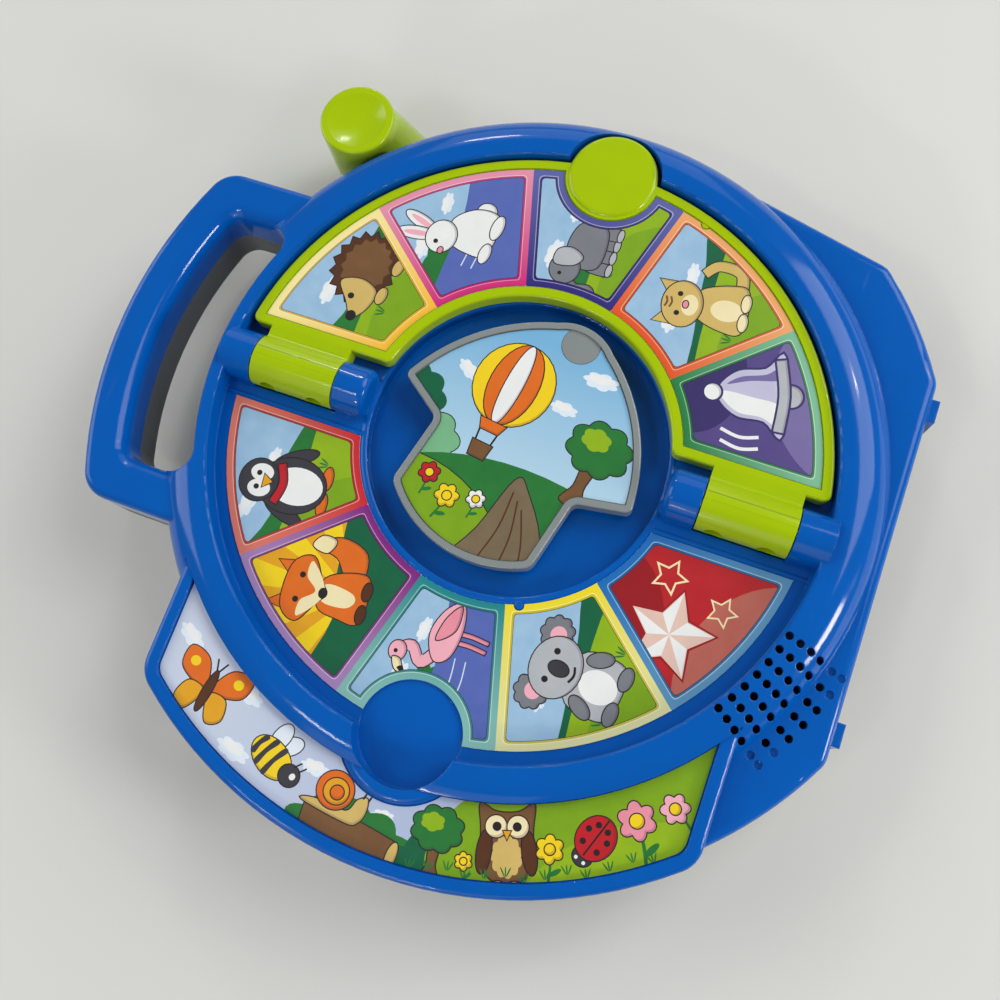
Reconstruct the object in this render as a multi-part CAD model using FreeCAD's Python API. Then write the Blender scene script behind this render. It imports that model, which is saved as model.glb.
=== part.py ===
"""Animal sound spinner toy: a round hand-held housing with a flip page, a spinning arrow and a pull lever.

Frame, in millimetres: the toy lies on its back with the dial up (+Z). The origin is on the arrow's
axis at the back plane, +Y points to the carry handle and +X to the side where the page and lever rest.
"""
import FreeCAD, Part
import math
import os

V = FreeCAD.Vector
UP = V(0, 0, 1)

# Levels above the back plane
parting_z = 30.0
base_z = 40.0
strip_rim_z = 47.0
strip_floor_z = 44.7
deck_z = 40.0
crest_z = 49.5
handle_z = 46.0
handle_back_z = 14.0
well_floor_z = 35.5
wall = 2.5

# Plan of the housing
ring_outer_r = 135.0
flank_r = 15.5
ring_flat = 4.7
page_rim_gap = 1.4
well_r = 56.2
bead_width = 2.4
bead_height = 0.4
pip_r = 1.5
pip_rise = 0.55
pip_angle = 200.8
base_reach = 19.8
base_edge_reach = 2.4
base_side_inset = 1.8
base_side_angle = -13.9
base_corner_r = 9.0
base_roll_r = 3.6
strip_reach = 23.0
strip_tuck = 8.0
strip_low_y = -106.4
strip_high_y = 98.9
strip_corner_r = 12.0
strip_rim = 5.4
strip_roll_r = 2.2
handle_reach = 29.0
handle_half = 69.8
handle_corner_r = 12.0
grip_width = 15.0
hole_half = 52.0
hole_corner_r = 8.0
edge_r = 3.0
grip_roll_r = 6.0
back_edge_r = 4.0
foot_x = 60.8
foot_width = 8.5
foot_height = 2.6
foot_low_z = 8.0
foot_high_z = 38.0

# Page that turns like the page of a book
page_t = 6.6
page_gap = 0.3
page_inner_r = 56.5
page_edge_x = 13.3
page_corner_r = 3.0
page_rim = 3.8
page_label_depth = 0.9
page_skin = 1.6
page_pip_angle = -21.2
tab_inset = 2.6
tab_r = 17.2
tab_dome = 0.8
tab_gap = 1.4
tab_lip = 5.2
tab_floor_drop = 0.6
knuckle_r = 9.5
knuckle_near_y = 70.5
knuckle_far_inset = 9.7
knuckle_gap = 0.4
knuckle_blend_r = 2.0
scoop_r = 3.5
scoop_inset = 7.0
scoop_floor_x = 6.6
trough_gap = 0.7
pin_r = 1.5
running_gap = 0.05
label_t = 0.35
label_edge_gap = 0.4
dial_label_x = 15.2
dial_rib_width = 1.5

# Arrow spinner
arrow_angle = -14.0
arrow_tip_r = 51.2
arrow_barb = 49.6
arrow_bulge_x = 29.2
arrow_bulge_y = 34.7
arrow_notch = 30.4
arrow_tail_r = 47.0
arrow_under_z = 39.2
arrow_t = 6.7
arrow_rim = 2.6
arrow_label_depth = 1.1
arrow_skin = 1.8
arrow_tip_depth = 4.0
arrow_tip_half = 12.0
arrow_notch_back = 8.0
arrow_barb_r = 2.8
arrow_notch_r = 3.5
arrow_tail_corner_r = 5.0
arrow_disc_r = 7.2
arrow_disc_u = 44.0
shaft_r = 4.0
shaft_socket = 3.6
collar_r = 6.5
bearing_r = 8.0
bearing_low_z = 28.0

# Gear train
module = 1.5
pressure_angle = 25.0
lever_teeth = 60
pinion_teeth = 12
wheel_teeth = 48
spinner_teeth = 24
tooth_gap = 0.1
tooth_root = 1.25
sector_teeth_before = 1.5
sector_teeth_after = 2.0
idler_angle = 160.0
idler_boss_r = 4.5
plate_z = 7.0
plate_t = 2.5
post_r = 7.0
post_top_z = 21.0
shaft_seat_z = 9.0
sector_z = 14.8
sector_t = 4.8
sector_rim = 8.0
wheel_windows = 5
wheel_window_r = 5.6
hub_low_z = 14.0
hub_r = 13.0
wheel_z = 22.3
wheel_t = 4.2
spinner_gear_low_z = 21.7
spinner_gear_high_z = 27.2
seat_gap = 0.3

# Pull lever
lever_angle = 45.0
lever_travel = 50.0
lever_arm_width = 16.0
knob_reach = 14.5
knob_r = 15.0
knob_top_z = 46.0
knob_low_z = 8.0
knob_flare = 13.0
knob_flare_r = 13.0
knob_flare_inset = 0.6
knob_clearance = 1.2
knob_rim = 3.0
knob_dish = 1.8
slot_gap = 1.5
slot_end_angle = 2.0
spring_turns = 2.5
spring_band = 0.5
spring_inner_gap = 0.4
spring_z = 9.8
spring_height = 3.6
spring_peg_r = 1.0
spring_peg_inset = 0.25

# Screws and posts
screw_r = 1.25
screw_head_r = 2.8
screw_head_t = 2.0
cross_reach = 1.6
cross_width = 0.7
cross_depth = 0.6
post_outer_r = 4.5
screw_seat_z = 20.0
screw_length = 16.0
screw_inset = 13.0
screw_angles = (58.0, 122.0, 158.0, 222.0, 270.0, 320.0)
handle_screw_inset = 1.0

# Battery compartment
cell_r = 7.15
cell_length = 50.5
cell_gap = 0.6
bay_x = 5.0
bay_inset = 39.0
bay_wall = 2.0
contact_t = 0.5
contact_room = 3.4
door_t = 2.2
door_gap = 0.3
door_tongue = 11.0
door_screw_head_t = 0.9
door_rib_rise = 1.2
cell_nub_length = 1.2
cell_nub_r = 2.4
contact_half = 5.7
contact_leaf_r = 2.1

# Speaker and its grille
speaker_inset = 12.9
speaker_angle = -116.25
speaker_r = 25.0
speaker_seat = 2.0
speaker_flange_z = 23.0
speaker_flange_t = 1.2
basket_r = 20.0
basket_t = 0.8
basket_floor_t = 1.2
magnet_r = 11.0
magnet_z = 11.0
magnet_t = 6.0
cone_t = 0.6
cone_lift = 1.0
dust_cap_r = 6.0
dust_cap_rise = 1.2
grille_hole_r = 1.45
grille_inset = 17.5
grille_pitch = 4.4
grille_ring_rows = 4
grille_base_reach = 1.4
grille_base_pitch = 4.0
grille_base_rows = 2
grille_first_angle = -107.6
grille_angle_step = -2.81
grille_columns = 7
grille_blind = ((4, 0), (4, 6), (5, 0), (5, 1), (5, 5), (5, 6))
grille_blind_depth = 1.0

# Circuit board
board_inset = 51.0
board_y = -40.0
board_length = 40.0
board_width = 42.0
board_t = 1.6
board_z = 8.0
board_post_r = 3.0
chip_r = 6.0
chip_rise = 2.5
can_r = 2.5
can_height = 7.0
plug_length = 8.0
plug_width = 4.0
plug_height = 5.0
ring_board_inner_r = 14.0
ring_board_outer_r = 32.0
ring_board_t = 1.2
wiper_ring_width = 2.5
wiper_width = 3.0

# How far a cutting shape runs past what it cuts
overcut = 1.0

# Sizes that follow from the ones above
crest_outer_r = ring_outer_r - flank_r
ring_inner_r = crest_outer_r - ring_flat
page_outer_r = ring_inner_r - page_rim_gap
base_r = ring_outer_r + base_reach
base_edge_y = ring_outer_r + base_edge_reach
base_side_r = ring_outer_r - base_side_inset
strip_outer_r = ring_outer_r + strip_reach
strip_inner_r = ring_outer_r - strip_tuck
handle_outer_r = ring_outer_r + handle_reach
hole_outer_r = handle_outer_r - grip_width
hole_inner_r = crest_outer_r
tab_x = page_outer_r - tab_inset
knuckle_far_y = page_outer_r - knuckle_far_inset
knob_centre_r = ring_outer_r + knob_reach
screw_ring_r = ring_outer_r - screw_inset
handle_screw_x = (handle_half + hole_half) / 2
handle_screw_y = ring_outer_r - handle_screw_inset
bay_y = bay_inset - ring_outer_r
board_x = board_inset - ring_outer_r
speaker_x = (ring_outer_r - speaker_inset) * math.cos(math.radians(speaker_angle))
speaker_y = (ring_outer_r - speaker_inset) * math.sin(math.radians(speaker_angle))
grille_first_r = ring_outer_r - grille_inset
grille_base_r = ring_outer_r + grille_base_reach
page_low_z = deck_z + label_t + page_gap
hinge_z = page_low_z + page_t / 2
page_top_z = page_low_z + page_t
well_cup_r = well_r + wall
arrow_top_z = arrow_under_z + arrow_t
sector_pitch_r = lever_teeth * module / 2
pinion_pitch_r = pinion_teeth * module / 2
wheel_pitch_r = wheel_teeth * module / 2
idler_distance = sector_pitch_r + pinion_pitch_r
idler_x = idler_distance * math.cos(math.radians(idler_angle))
idler_y = idler_distance * math.sin(math.radians(idler_angle))
plate_top_z = plate_z + plate_t


def polar(radius, angle):
    """Return x and y of a point at a radius and an angle in degrees."""
    return radius * math.cos(math.radians(angle)), radius * math.sin(math.radians(angle))


def cylinder(radius, low, high, x=0.0, y=0.0):
    """Return an upright cylinder between two levels."""
    return Part.makeCylinder(radius, high - low, V(x, y, low))


def tube(outer, inner, low, high, x=0.0, y=0.0):
    """Return an upright tube between two levels."""
    return cylinder(outer, low, high, x, y).cut(cylinder(inner, low, high, x, y))


def across(radius, y_low, y_high, z=0.0, x=0.0):
    """Return a cylinder that lies along Y."""
    return Part.makeCylinder(radius, y_high - y_low, V(x, y_low, z), V(0, 1, 0))


def block(x_low, x_high, y_low, y_high, z_low, z_high):
    """Return a box given by its limits."""
    return Part.makeBox(x_high - x_low, y_high - y_low, z_high - z_low, V(x_low, y_low, z_low))


def prism(points, low, high):
    """Return an upright prism over a polygon."""
    corners = [V(x, y, low) for x, y in points]
    return Part.Face(Part.makePolygon(corners + corners[:1])).extrude(V(0, 0, high - low))


def ring_sector(outer, inner, half, low, high):
    """Return a curved bar: the part of an annulus around +Y with |x| up to half."""
    return tube(outer, inner, low, high).common(block(-half, half, 0, outer + overcut, low, high))


def upright_edges(shape, x, y, reach=6.0):
    """Return the vertical edges of a shape near a plan position."""
    found = []
    for edge in shape.Edges:
        box = edge.BoundBox
        if box.XLength < 1e-4 and box.YLength < 1e-4 and box.ZLength > 1e-3:
            if math.hypot(box.Center.x - x, box.Center.y - y) < reach:
                found.append(edge)
    return found


def round_uprights(shape, radius, places, reach=6.0):
    """Round the vertical edges of a shape near the given plan positions."""
    edges = [edge for x, y in places for edge in upright_edges(shape, x, y, reach)]
    return shape.makeFillet(radius, edges)


def level_edges(shape, level):
    """Return every edge of a shape that lies at one level."""
    found = []
    for edge in shape.Edges:
        box = edge.BoundBox
        if box.ZLength < 1e-4 and abs(box.ZMin - level) < 1e-4:
            found.append(edge)
    return found


def round_level(shape, radius, level):
    """Round every edge of a shape that lies at one level."""
    return shape.makeFillet(radius, level_edges(shape, level))


def revolved(points, arcs=None):
    """Return a solid turned about Z from (radius, z) points; arcs maps an index to an arc's middle."""
    arcs = arcs or {}
    edges = []
    for index, start in enumerate(points):
        end = points[(index + 1) % len(points)]
        first = V(start[0], 0, start[1])
        last = V(end[0], 0, end[1])
        if index in arcs:
            middle = V(arcs[index][0], 0, arcs[index][1])
            edges.append(Part.Arc(first, middle, last).toShape())
        else:
            edges.append(Part.makeLine(first, last))
    return Part.Face(Part.Wire(edges)).revolve(V(0, 0, 0), UP, 360)


def turned(shape, angle):
    """Return a copy of a shape turned about the arrow's axis."""
    copy = shape.copy()
    copy.rotate(V(0, 0, 0), UP, angle)
    return copy


def fused(shapes):
    """Return the union of several shapes without its seams."""
    return shapes[0].multiFuse(shapes[1:]).removeSplitter()


# ---------------------------------------------------------------- outline of both housing halves
def corner_x(outer, half):
    """Return where a circle about the origin reaches a given distance from an axis."""
    return math.sqrt(outer * outer - half * half)


def handle_bar(low, high, inset=0.0):
    """Return the handle's slab without its hole, from inside the ring to the top of the grip."""
    outer = handle_outer_r - inset
    half = handle_half - inset
    slab = ring_sector(outer, ring_inner_r + wall, half, low, high)
    top = corner_x(outer, half)
    return round_uprights(slab, handle_corner_r - inset, [(half, top), (-half, top)])


def hand_hole(low, high, grow=0.0):
    """Return the space of the hand hole, grown by an amount."""
    outer = hole_outer_r + grow
    inner = hole_inner_r - grow
    half = hole_half + grow
    space = ring_sector(outer, inner, half, low, high)
    places = [(half, corner_x(outer, half)), (-half, corner_x(outer, half))]
    places += [(half, corner_x(inner, half)), (-half, corner_x(inner, half))]
    return round_uprights(space, hole_corner_r + grow, places)


def strip_bar(low, high, inset=0.0, inner=ring_inner_r):
    """Return the curved ledge on the -X side."""
    outer = strip_outer_r - inset
    near_y = strip_low_y + inset
    far_y = strip_high_y - inset
    slab = tube(outer, inner, low, high).common(block(-outer - overcut, 0, near_y, far_y, low, high))
    corners = [(-corner_x(outer, y), y) for y in (near_y, far_y)]
    return round_uprights(slab, strip_corner_r - inset, corners)


def base_slab(low, high, inset=0.0):
    """Return the foot of the toy: a shallow arc cut by the flat standing edge and a straight side."""
    side_r = base_side_r - inset
    edge_y = base_edge_y - inset
    outer = base_r - inset
    cosine = math.cos(math.radians(base_side_angle))
    sine = math.sin(math.radians(base_side_angle))
    touch = (side_r * cosine, side_r * sine)

    def side_x(y):
        return (side_r - y * sine) / cosine

    start = strip_low_y / 2
    heel_x = side_x(-edge_y)
    points = [(-outer, start), (-outer, -edge_y), (heel_x, -edge_y), touch, (0, touch[1]), (0, start)]
    slab = prism(points, low, high).common(cylinder(outer, low, high))
    angle = base_side_angle - math.degrees(math.acos(side_r / outer))
    corner = polar(outer, angle)
    heel = corner_x(outer, edge_y)
    slab = round_uprights(slab, base_corner_r - inset, [corner])
    return round_uprights(slab, base_corner_r - inset, [(heel, -edge_y), (-heel, -edge_y)])


def middle_of(edge):
    """Return the point halfway along an edge."""
    return edge.valueAt((edge.FirstParameter + edge.LastParameter) / 2)


def facing_hole(edge):
    """Tell whether an edge of the handle borders its hand hole."""
    middle = middle_of(edge)
    radius = math.hypot(middle.x, middle.y)
    return abs(middle.x) < hole_half + 1e-3 and crest_outer_r + 1e-3 < radius < hole_outer_r + 1e-3


def on_handle_outside(edge):
    """Tell whether an edge of the handle lies on its outer sides or top."""
    middle = middle_of(edge)
    radius = math.hypot(middle.x, middle.y)
    at_side = abs(middle.x) > handle_half - handle_corner_r and radius > ring_outer_r
    return at_side or radius > handle_outer_r - overcut


# ---------------------------------------------------------------- front housing
def ring_solid():
    """Return the dial's bowl and its rolled ring as one turned solid."""
    bead_r = well_r + bead_width
    slope = math.sqrt(0.5) * flank_r
    points = [
        (0, parting_z), (ring_outer_r, parting_z), (ring_outer_r, crest_z - flank_r),
        (crest_outer_r, crest_z), (ring_inner_r + 1, crest_z), (ring_inner_r, crest_z - 1),
        (ring_inner_r, deck_z), (bead_r, deck_z), (well_r, deck_z), (well_r, well_floor_z),
        (0, well_floor_z),
    ]
    arcs = {
        2: (crest_outer_r + slope, crest_z - flank_r + slope),
        4: (ring_inner_r + 1 - math.sqrt(0.5), crest_z - 1 + math.sqrt(0.5)),
        7: (well_r + bead_width / 2, deck_z + bead_height),
    }
    return revolved(points, arcs)


def ring_cavity():
    """Return the space under the dial and inside the ring."""
    inner_r = flank_r - wall
    slope = math.sqrt(0.5) * inner_r
    low = parting_z
    high = crest_z - wall
    centre_z = crest_z - flank_r
    points = [
        (0, low), (ring_outer_r - wall, low), (ring_outer_r - wall, centre_z), (crest_outer_r, high),
        (ring_inner_r + wall, high), (ring_inner_r + wall, deck_z - wall), (well_cup_r, deck_z - wall),
        (well_cup_r, well_floor_z - wall), (0, well_floor_z - wall),
    ]
    return revolved(points, {2: (crest_outer_r + slope, centre_z + slope)})


def front_outer():
    """Return the front housing's outside as one solid."""
    handle = handle_bar(parting_z, handle_z).cut(cylinder(crest_outer_r, parting_z, crest_z))
    handle = handle.cut(hand_hole(parting_z, crest_z))
    rim = [edge for edge in level_edges(handle, handle_z) if facing_hole(edge)]
    handle = handle.makeFillet(grip_roll_r, rim)
    outside = [edge for edge in level_edges(handle, handle_z) if on_handle_outside(edge)]
    handle = handle.makeFillet(edge_r, outside)
    base = round_level(base_slab(parting_z, base_z), base_roll_r, base_z)
    base = base.cut(cylinder(crest_outer_r, parting_z, base_z))
    strip = round_level(strip_bar(parting_z, strip_rim_z), strip_roll_r, strip_rim_z)
    ring = ring_solid().cut(strip_bar(strip_rim_z, crest_z, 0.0, strip_inner_r))
    recess = strip_bar(strip_floor_z, strip_rim_z, strip_rim, strip_inner_r)
    return fused([ring, handle, base, strip] + feet(parting_z, foot_high_z)).cut(recess)


def feet(low, high):
    """Return the two pads on the standing edge."""
    near_y = -base_edge_y - foot_height
    far_y = -base_edge_y + wall
    half = foot_width / 2
    return [block(x - half, x + half, near_y, far_y, low, high) for x in (-foot_x, foot_x)]


def tab_pods(outer):
    """Return the two cups that take the page's tab, trimmed to the housing on the page side."""
    floor_z = deck_z - tab_floor_drop
    plain = cylinder(tab_r + tab_gap + wall, floor_z - wall, crest_z, tab_x).common(outer)
    lip_r = tab_r + tab_gap + tab_lip
    lipped = cylinder(lip_r, floor_z - wall, crest_z - wall, -tab_x)
    lipped = round_level(lipped, edge_r, crest_z - wall)
    lipped = lipped.cut(cylinder(ring_inner_r, deck_z, crest_z))
    return [plain, lipped]


def tab_recesses():
    """Return the round spaces that the page's tab drops into."""
    floor_z = deck_z - tab_floor_drop
    return [cylinder(tab_r + tab_gap, floor_z, crest_z + overcut, side * tab_x) for side in (1, -1)]


def hinge_barrels():
    """Return the four fixed barrels and the two trough shells under the page's knuckles."""
    near = knuckle_near_y - knuckle_gap
    far = knuckle_far_y + knuckle_gap
    solids = []
    for side in (1, -1):
        inner = across(knuckle_r, well_r + bead_width / 2, near, hinge_z)
        rim = [edge for edge in inner.Edges if abs(edge.BoundBox.Center.y - well_r - bead_width / 2) < 1e-4]
        inner = inner.makeFillet(edge_r, rim)
        outer = across(knuckle_r, far, crest_outer_r, hinge_z)
        outer = outer.common(cylinder(ring_inner_r + wall, 0, crest_z + knuckle_r))
        trough = across(knuckle_r + trough_gap + wall, near - wall, far + wall, hinge_z)
        trough = trough.common(block(-ring_inner_r, ring_inner_r, near - wall, far + wall, 0, deck_z))
        for solid in (inner, outer, trough):
            solids.append(solid if side > 0 else solid.mirror(V(0, 0, 0), V(0, 1, 0)))
    return solids


def dial_rib():
    """Return the low raised line along the straight edge of the uncovered dial label."""
    low_x = -dial_label_x + label_edge_gap
    high_z = deck_z + label_t
    rib = block(low_x, low_x + dial_rib_width, -ring_inner_r, ring_inner_r, deck_z - wall, high_z)
    return rib.common(tube(ring_inner_r + wall / 2, well_r + bead_width / 2, deck_z - wall, high_z))


def dial_pip(gap=0.0):
    """Return the small raised stop beside the well's bead, grown by a gap."""
    x, y = polar(well_r + bead_width + pip_r / 2, pip_angle)
    return cylinder(pip_r + gap, deck_z - wall, deck_z + pip_rise, x, y)


def trough_spaces():
    """Return the spaces that the page's two knuckles turn in."""
    near = knuckle_near_y - knuckle_gap
    far = knuckle_far_y + knuckle_gap
    space = across(knuckle_r + trough_gap, near, far, hinge_z)
    return [space, space.mirror(V(0, 0, 0), V(0, 1, 0))]


def pin_solids():
    """Return the two hinge pins."""
    pin = across(pin_r, well_r + bead_width / 2 + wall, ring_inner_r, hinge_z)
    return [pin, pin.mirror(V(0, 0, 0), V(0, 1, 0))]


def screw_places():
    """Return the plan positions of the housing screws, the last two in the handle's ends."""
    places = [polar(screw_ring_r, angle) for angle in screw_angles]
    return places + [(handle_screw_x, handle_screw_y), (-handle_screw_x, handle_screw_y)]


def flank_height(radius):
    """Return the level of the ring's rolled flank, or of the base beyond it, at a radius."""
    if radius < crest_outer_r:
        return crest_z
    drop = min(radius - crest_outer_r, flank_r)
    return max(base_z, crest_z - flank_r + math.sqrt(flank_r ** 2 - drop ** 2))


def grille_holes():
    """Return the sound holes: concentric rows on the ring and the base, the outer corners only dimples."""
    radii = [grille_first_r + row * grille_pitch for row in range(grille_ring_rows)]
    radii += [grille_base_r + row * grille_base_pitch for row in range(grille_base_rows)]
    holes = []
    for row, radius in enumerate(radii):
        for column in range(grille_columns):
            x, y = polar(radius, grille_first_angle + column * grille_angle_step)
            low = base_z - 2 * wall
            if (row, column) in grille_blind:
                low = flank_height(radius + grille_hole_r) - grille_blind_depth
            holes.append(cylinder(grille_hole_r, low, crest_z + overcut, x, y))
    return holes


def make_front_housing():
    """Return the blue front half with the ring, dial, well, strip, handle front and base front."""
    outer = front_outer()
    cavity = fused([
        ring_cavity(), handle_bar(parting_z, handle_z - wall, wall),
        strip_bar(parting_z, strip_floor_z - wall, wall, ring_inner_r + wall),
        base_slab(parting_z, base_z - wall, wall).cut(cylinder(crest_outer_r, parting_z, base_z)),
    ])
    cavity = cavity.cut(hand_hole(parting_z, crest_z, wall))
    cavity = cavity.cut(strip_bar(strip_floor_z - wall, crest_z, strip_rim - wall, strip_inner_r - wall))
    shell = outer.cut(cavity)
    posts = [cylinder(post_outer_r, parting_z, crest_z - wall, x, y) for x, y in screw_places()]
    posts.append(tube(speaker_r + seat_gap, speaker_r - speaker_seat, speaker_flange_z + speaker_flange_t,
                      crest_z - wall, speaker_x, speaker_y))
    posts = [post.common(outer.fuse(cylinder(base_r, 0, parting_z))) for post in posts]
    posts.append(cylinder(bearing_r, bearing_low_z, well_floor_z))
    posts.append(cylinder(idler_boss_r, bearing_low_z, well_floor_z, idler_x, idler_y))
    shell = fused([shell, dial_rib(), dial_pip()] + tab_pods(outer) + posts + hinge_barrels())
    holes = tab_recesses() + trough_spaces() + pin_solids()
    holes.append(hand_hole(0, crest_z + overcut))
    holes.append(cylinder(shaft_r + running_gap, 0, crest_z))
    holes.append(cylinder(pin_r, 0, well_floor_z - wall, idler_x, idler_y))
    holes += [cylinder(screw_r, 0, screw_seat_z + screw_length + seat_gap, x, y) for x, y in screw_places()]
    return shell.cut(fused(holes)).cut(Part.makeCompound(grille_holes()))


# ---------------------------------------------------------------- rear cover
def back_rounded(slab, low):
    """Round the lower outer edge of a slab of the rear cover."""
    return round_level(slab, back_edge_r, low)


def lever_slot():
    """Return the slot in the side wall that the lever's arm sweeps."""
    half = math.degrees(math.asin(lever_arm_width / 2 / ring_outer_r)) + slot_end_angle
    first = lever_angle - lever_travel - half
    last = lever_angle + half
    outer = ring_outer_r + overcut
    inner = ring_outer_r - 2 * wall
    slot = tube(outer, inner, sector_z - slot_gap, sector_z + sector_t + slot_gap)
    reach = 2 * outer
    wedge = [(0, 0), polar(reach, first), polar(reach, (first + last) / 2), polar(reach, last)]
    return slot.common(prism(wedge, 0, parting_z))


def bay_size():
    """Return the battery bay's half length, half width and top level."""
    half_length = cell_length / 2 + contact_room
    half_width = 2 * cell_r + cell_gap
    top = door_t + 2 * cell_r + 2 * cell_gap
    return half_length, half_width, top


def battery_space():
    """Return the battery bay's inner space, open at the back."""
    half_length, half_width, top = bay_size()
    return block(bay_x - half_length, bay_x + half_length, bay_y - half_width, bay_y + half_width, 0, top)


def door_slab(gap=0.0):
    """Return the battery door's plate with the tongue that takes its screw."""
    half_length, half_width, top = bay_size()
    plate = block(bay_x - half_length + gap, bay_x + half_length - gap, bay_y - half_width + gap,
                  bay_y + half_width - gap, 0, door_t)
    tongue = block(bay_x, bay_x + half_length + door_tongue - gap, bay_y - door_tongue / 2 + gap,
                   bay_y + door_tongue / 2 - gap, 0, door_t)
    return fused([plate, tongue])


def door_screw_x():
    """Return the x position of the battery door's screw."""
    return bay_x + bay_size()[0] + door_tongue / 2


def board_posts():
    """Return the plan positions of the circuit board's posts."""
    x = board_length / 2 - board_post_r
    y = board_width / 2 - board_post_r
    return [(board_x + x * a, board_y + y * b) for a in (1, -1) for b in (1, -1)]


def plate_posts():
    """Return the plan positions of the gearbox plate's posts."""
    centre = (idler_x / 2, idler_y / 2)
    reach = hub_r + post_r + wall
    side = polar(reach, idler_angle + 90)
    far = polar(idler_distance / 2 + reach, idler_angle)
    near = polar(idler_distance / 2 + reach, idler_angle + 180)
    return [(centre[0] + dx, centre[1] + dy) for dx, dy in (side, (-side[0], -side[1]), far, near)]


def make_rear_cover():
    """Return the grey rear half: a tray with the handle's back, posts, battery bay and lever slot."""
    grip = handle_bar(handle_back_z, parting_z).cut(cylinder(crest_outer_r, 0, parting_z))
    grip = grip.cut(hand_hole(handle_back_z, parting_z))
    rim = [edge for edge in level_edges(grip, handle_back_z) if facing_hole(edge) or on_handle_outside(edge)]
    outer = fused([
        back_rounded(cylinder(ring_outer_r, 0, parting_z), 0), back_rounded(base_slab(0, parting_z), 0),
        back_rounded(strip_bar(0, parting_z), 0), grip.makeFillet(back_edge_r, rim),
    ] + feet(foot_low_z, parting_z))
    cavity = fused([
        cylinder(ring_outer_r - wall, wall, parting_z), base_slab(wall, parting_z, wall),
        strip_bar(wall, parting_z, wall), handle_bar(handle_back_z + wall, parting_z, wall),
    ])
    cavity = cavity.cut(hand_hole(0, parting_z, wall))
    shell = outer.cut(cavity)
    half_length, half_width, top = bay_size()
    reach_x = half_length + bay_wall
    reach_y = half_width + bay_wall
    bay = block(bay_x - reach_x, bay_x + reach_x, bay_y - reach_y, bay_y + reach_y, 0, top + bay_wall)
    pad = cylinder(post_outer_r, 0, top, door_screw_x(), bay_y)
    shelf_x = bay_x + half_length
    shelf_y = door_tongue / 2 + wall
    shelf = block(shelf_x, shelf_x + door_tongue + wall, bay_y - shelf_y, bay_y + shelf_y, 0, door_t + wall)
    adds = [bay, pad, shelf]
    adds += [cylinder(post_outer_r, 0, parting_z, x, y) for x, y in screw_places()[:-2]]
    adds += [cylinder(post_outer_r, handle_back_z, parting_z, x, y) for x, y in screw_places()[-2:]]
    adds += [cylinder(board_post_r, 0, board_z, x, y) for x, y in board_posts()]
    adds += [cylinder(board_post_r, 0, plate_z, x, y) for x, y in plate_posts()]
    cup = tube(speaker_r + seat_gap, speaker_r - speaker_seat, 0, speaker_flange_z, speaker_x, speaker_y)
    adds.append(cup.common(outer))
    shell = fused([shell] + adds)
    holes = [hand_hole(0, parting_z), lever_slot(), battery_space(), door_slab()]
    for x, y in screw_places():
        holes.append(cylinder(screw_r, 0, parting_z, x, y))
        holes.append(cylinder(screw_head_r + seat_gap, 0, screw_seat_z, x, y))
    for x, y in board_posts():
        holes.append(cylinder(screw_r, wall, board_z, x, y))
    for x, y in plate_posts():
        holes.append(cylinder(screw_r, wall, plate_z, x, y))
    holes.append(cylinder(screw_r, 0, top - wall, door_screw_x(), bay_y))
    return shell.cut(fused(holes))


# ---------------------------------------------------------------- screws
def cross_recess(x, y, low, high):
    """Return the cross-shaped space for a screwdriver between two levels."""
    half = cross_width / 2
    bars = [block(x - cross_reach, x + cross_reach, y - half, y + half, low, high),
            block(x - half, x + half, y - cross_reach, y + cross_reach, low, high)]
    return fused(bars)


def screw_solid(x, y, seat_z, length, up=True):
    """Return a pan-head screw whose head seats at a level, pointing up or down."""
    step = 1 if up else -1
    face_z = seat_z - step * screw_head_t
    head = sorted((seat_z, face_z))
    shank = sorted((seat_z, seat_z + step * length))
    recess = sorted((face_z, face_z + step * cross_depth))
    solid = cylinder(screw_head_r, head[0], head[1], x, y).fuse(cylinder(screw_r, shank[0], shank[1], x, y))
    return solid.cut(cross_recess(x, y, recess[0], recess[1]))


def make_housing_screws():
    """Return the long screws that hold the two housing halves together."""
    return Part.makeCompound([screw_solid(x, y, screw_seat_z, screw_length) for x, y in screw_places()])


# ---------------------------------------------------------------- page
def half_ring(outer, inner, edge_x, low, high, corner=0.0):
    """Return half an annulus on the +X side of a straight edge."""
    plate = tube(outer, inner, low, high).common(block(edge_x, outer + overcut, -outer, outer, low, high))
    if corner:
        places = []
        for radius in (outer, inner):
            reach = corner_x(radius, edge_x)
            places += [(edge_x, reach), (edge_x, -reach)]
        plate = round_uprights(plate, corner, places, 1.0)
    return plate


def page_label_area(low, high, gap=0.0):
    """Return the sunk area for a picture on the page."""
    inset = page_rim + gap
    area = half_ring(page_outer_r - inset, page_inner_r + inset, page_edge_x + inset, low, high)
    return area.cut(cylinder(tab_r + page_rim / 4 + gap, low, high, tab_x))


def page_knuckle():
    """Return one hinge knuckle with its web to the page, blended where they meet, and its two scoops."""
    barrel = across(knuckle_r, knuckle_near_y, knuckle_far_y, hinge_z)
    web = block(0, page_edge_x + page_rim, knuckle_near_y, knuckle_far_y, page_low_z, page_top_z)
    body = fused([barrel, web])
    meet_x = corner_x(knuckle_r, page_t / 2)
    along = [edge for edge in body.Edges if edge.BoundBox.YLength > page_t]
    seams = [edge for edge in along if abs(edge.BoundBox.Center.x - meet_x) < 1e-3]
    body = body.makeFillet(knuckle_blend_r, seams)
    for y in (knuckle_near_y + scoop_inset, knuckle_far_y - scoop_inset):
        body = body.cut(Part.makeCylinder(scoop_r, knuckle_r, V(-scoop_floor_x, y, hinge_z), V(-1, 0, 0)))
    return body


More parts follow.
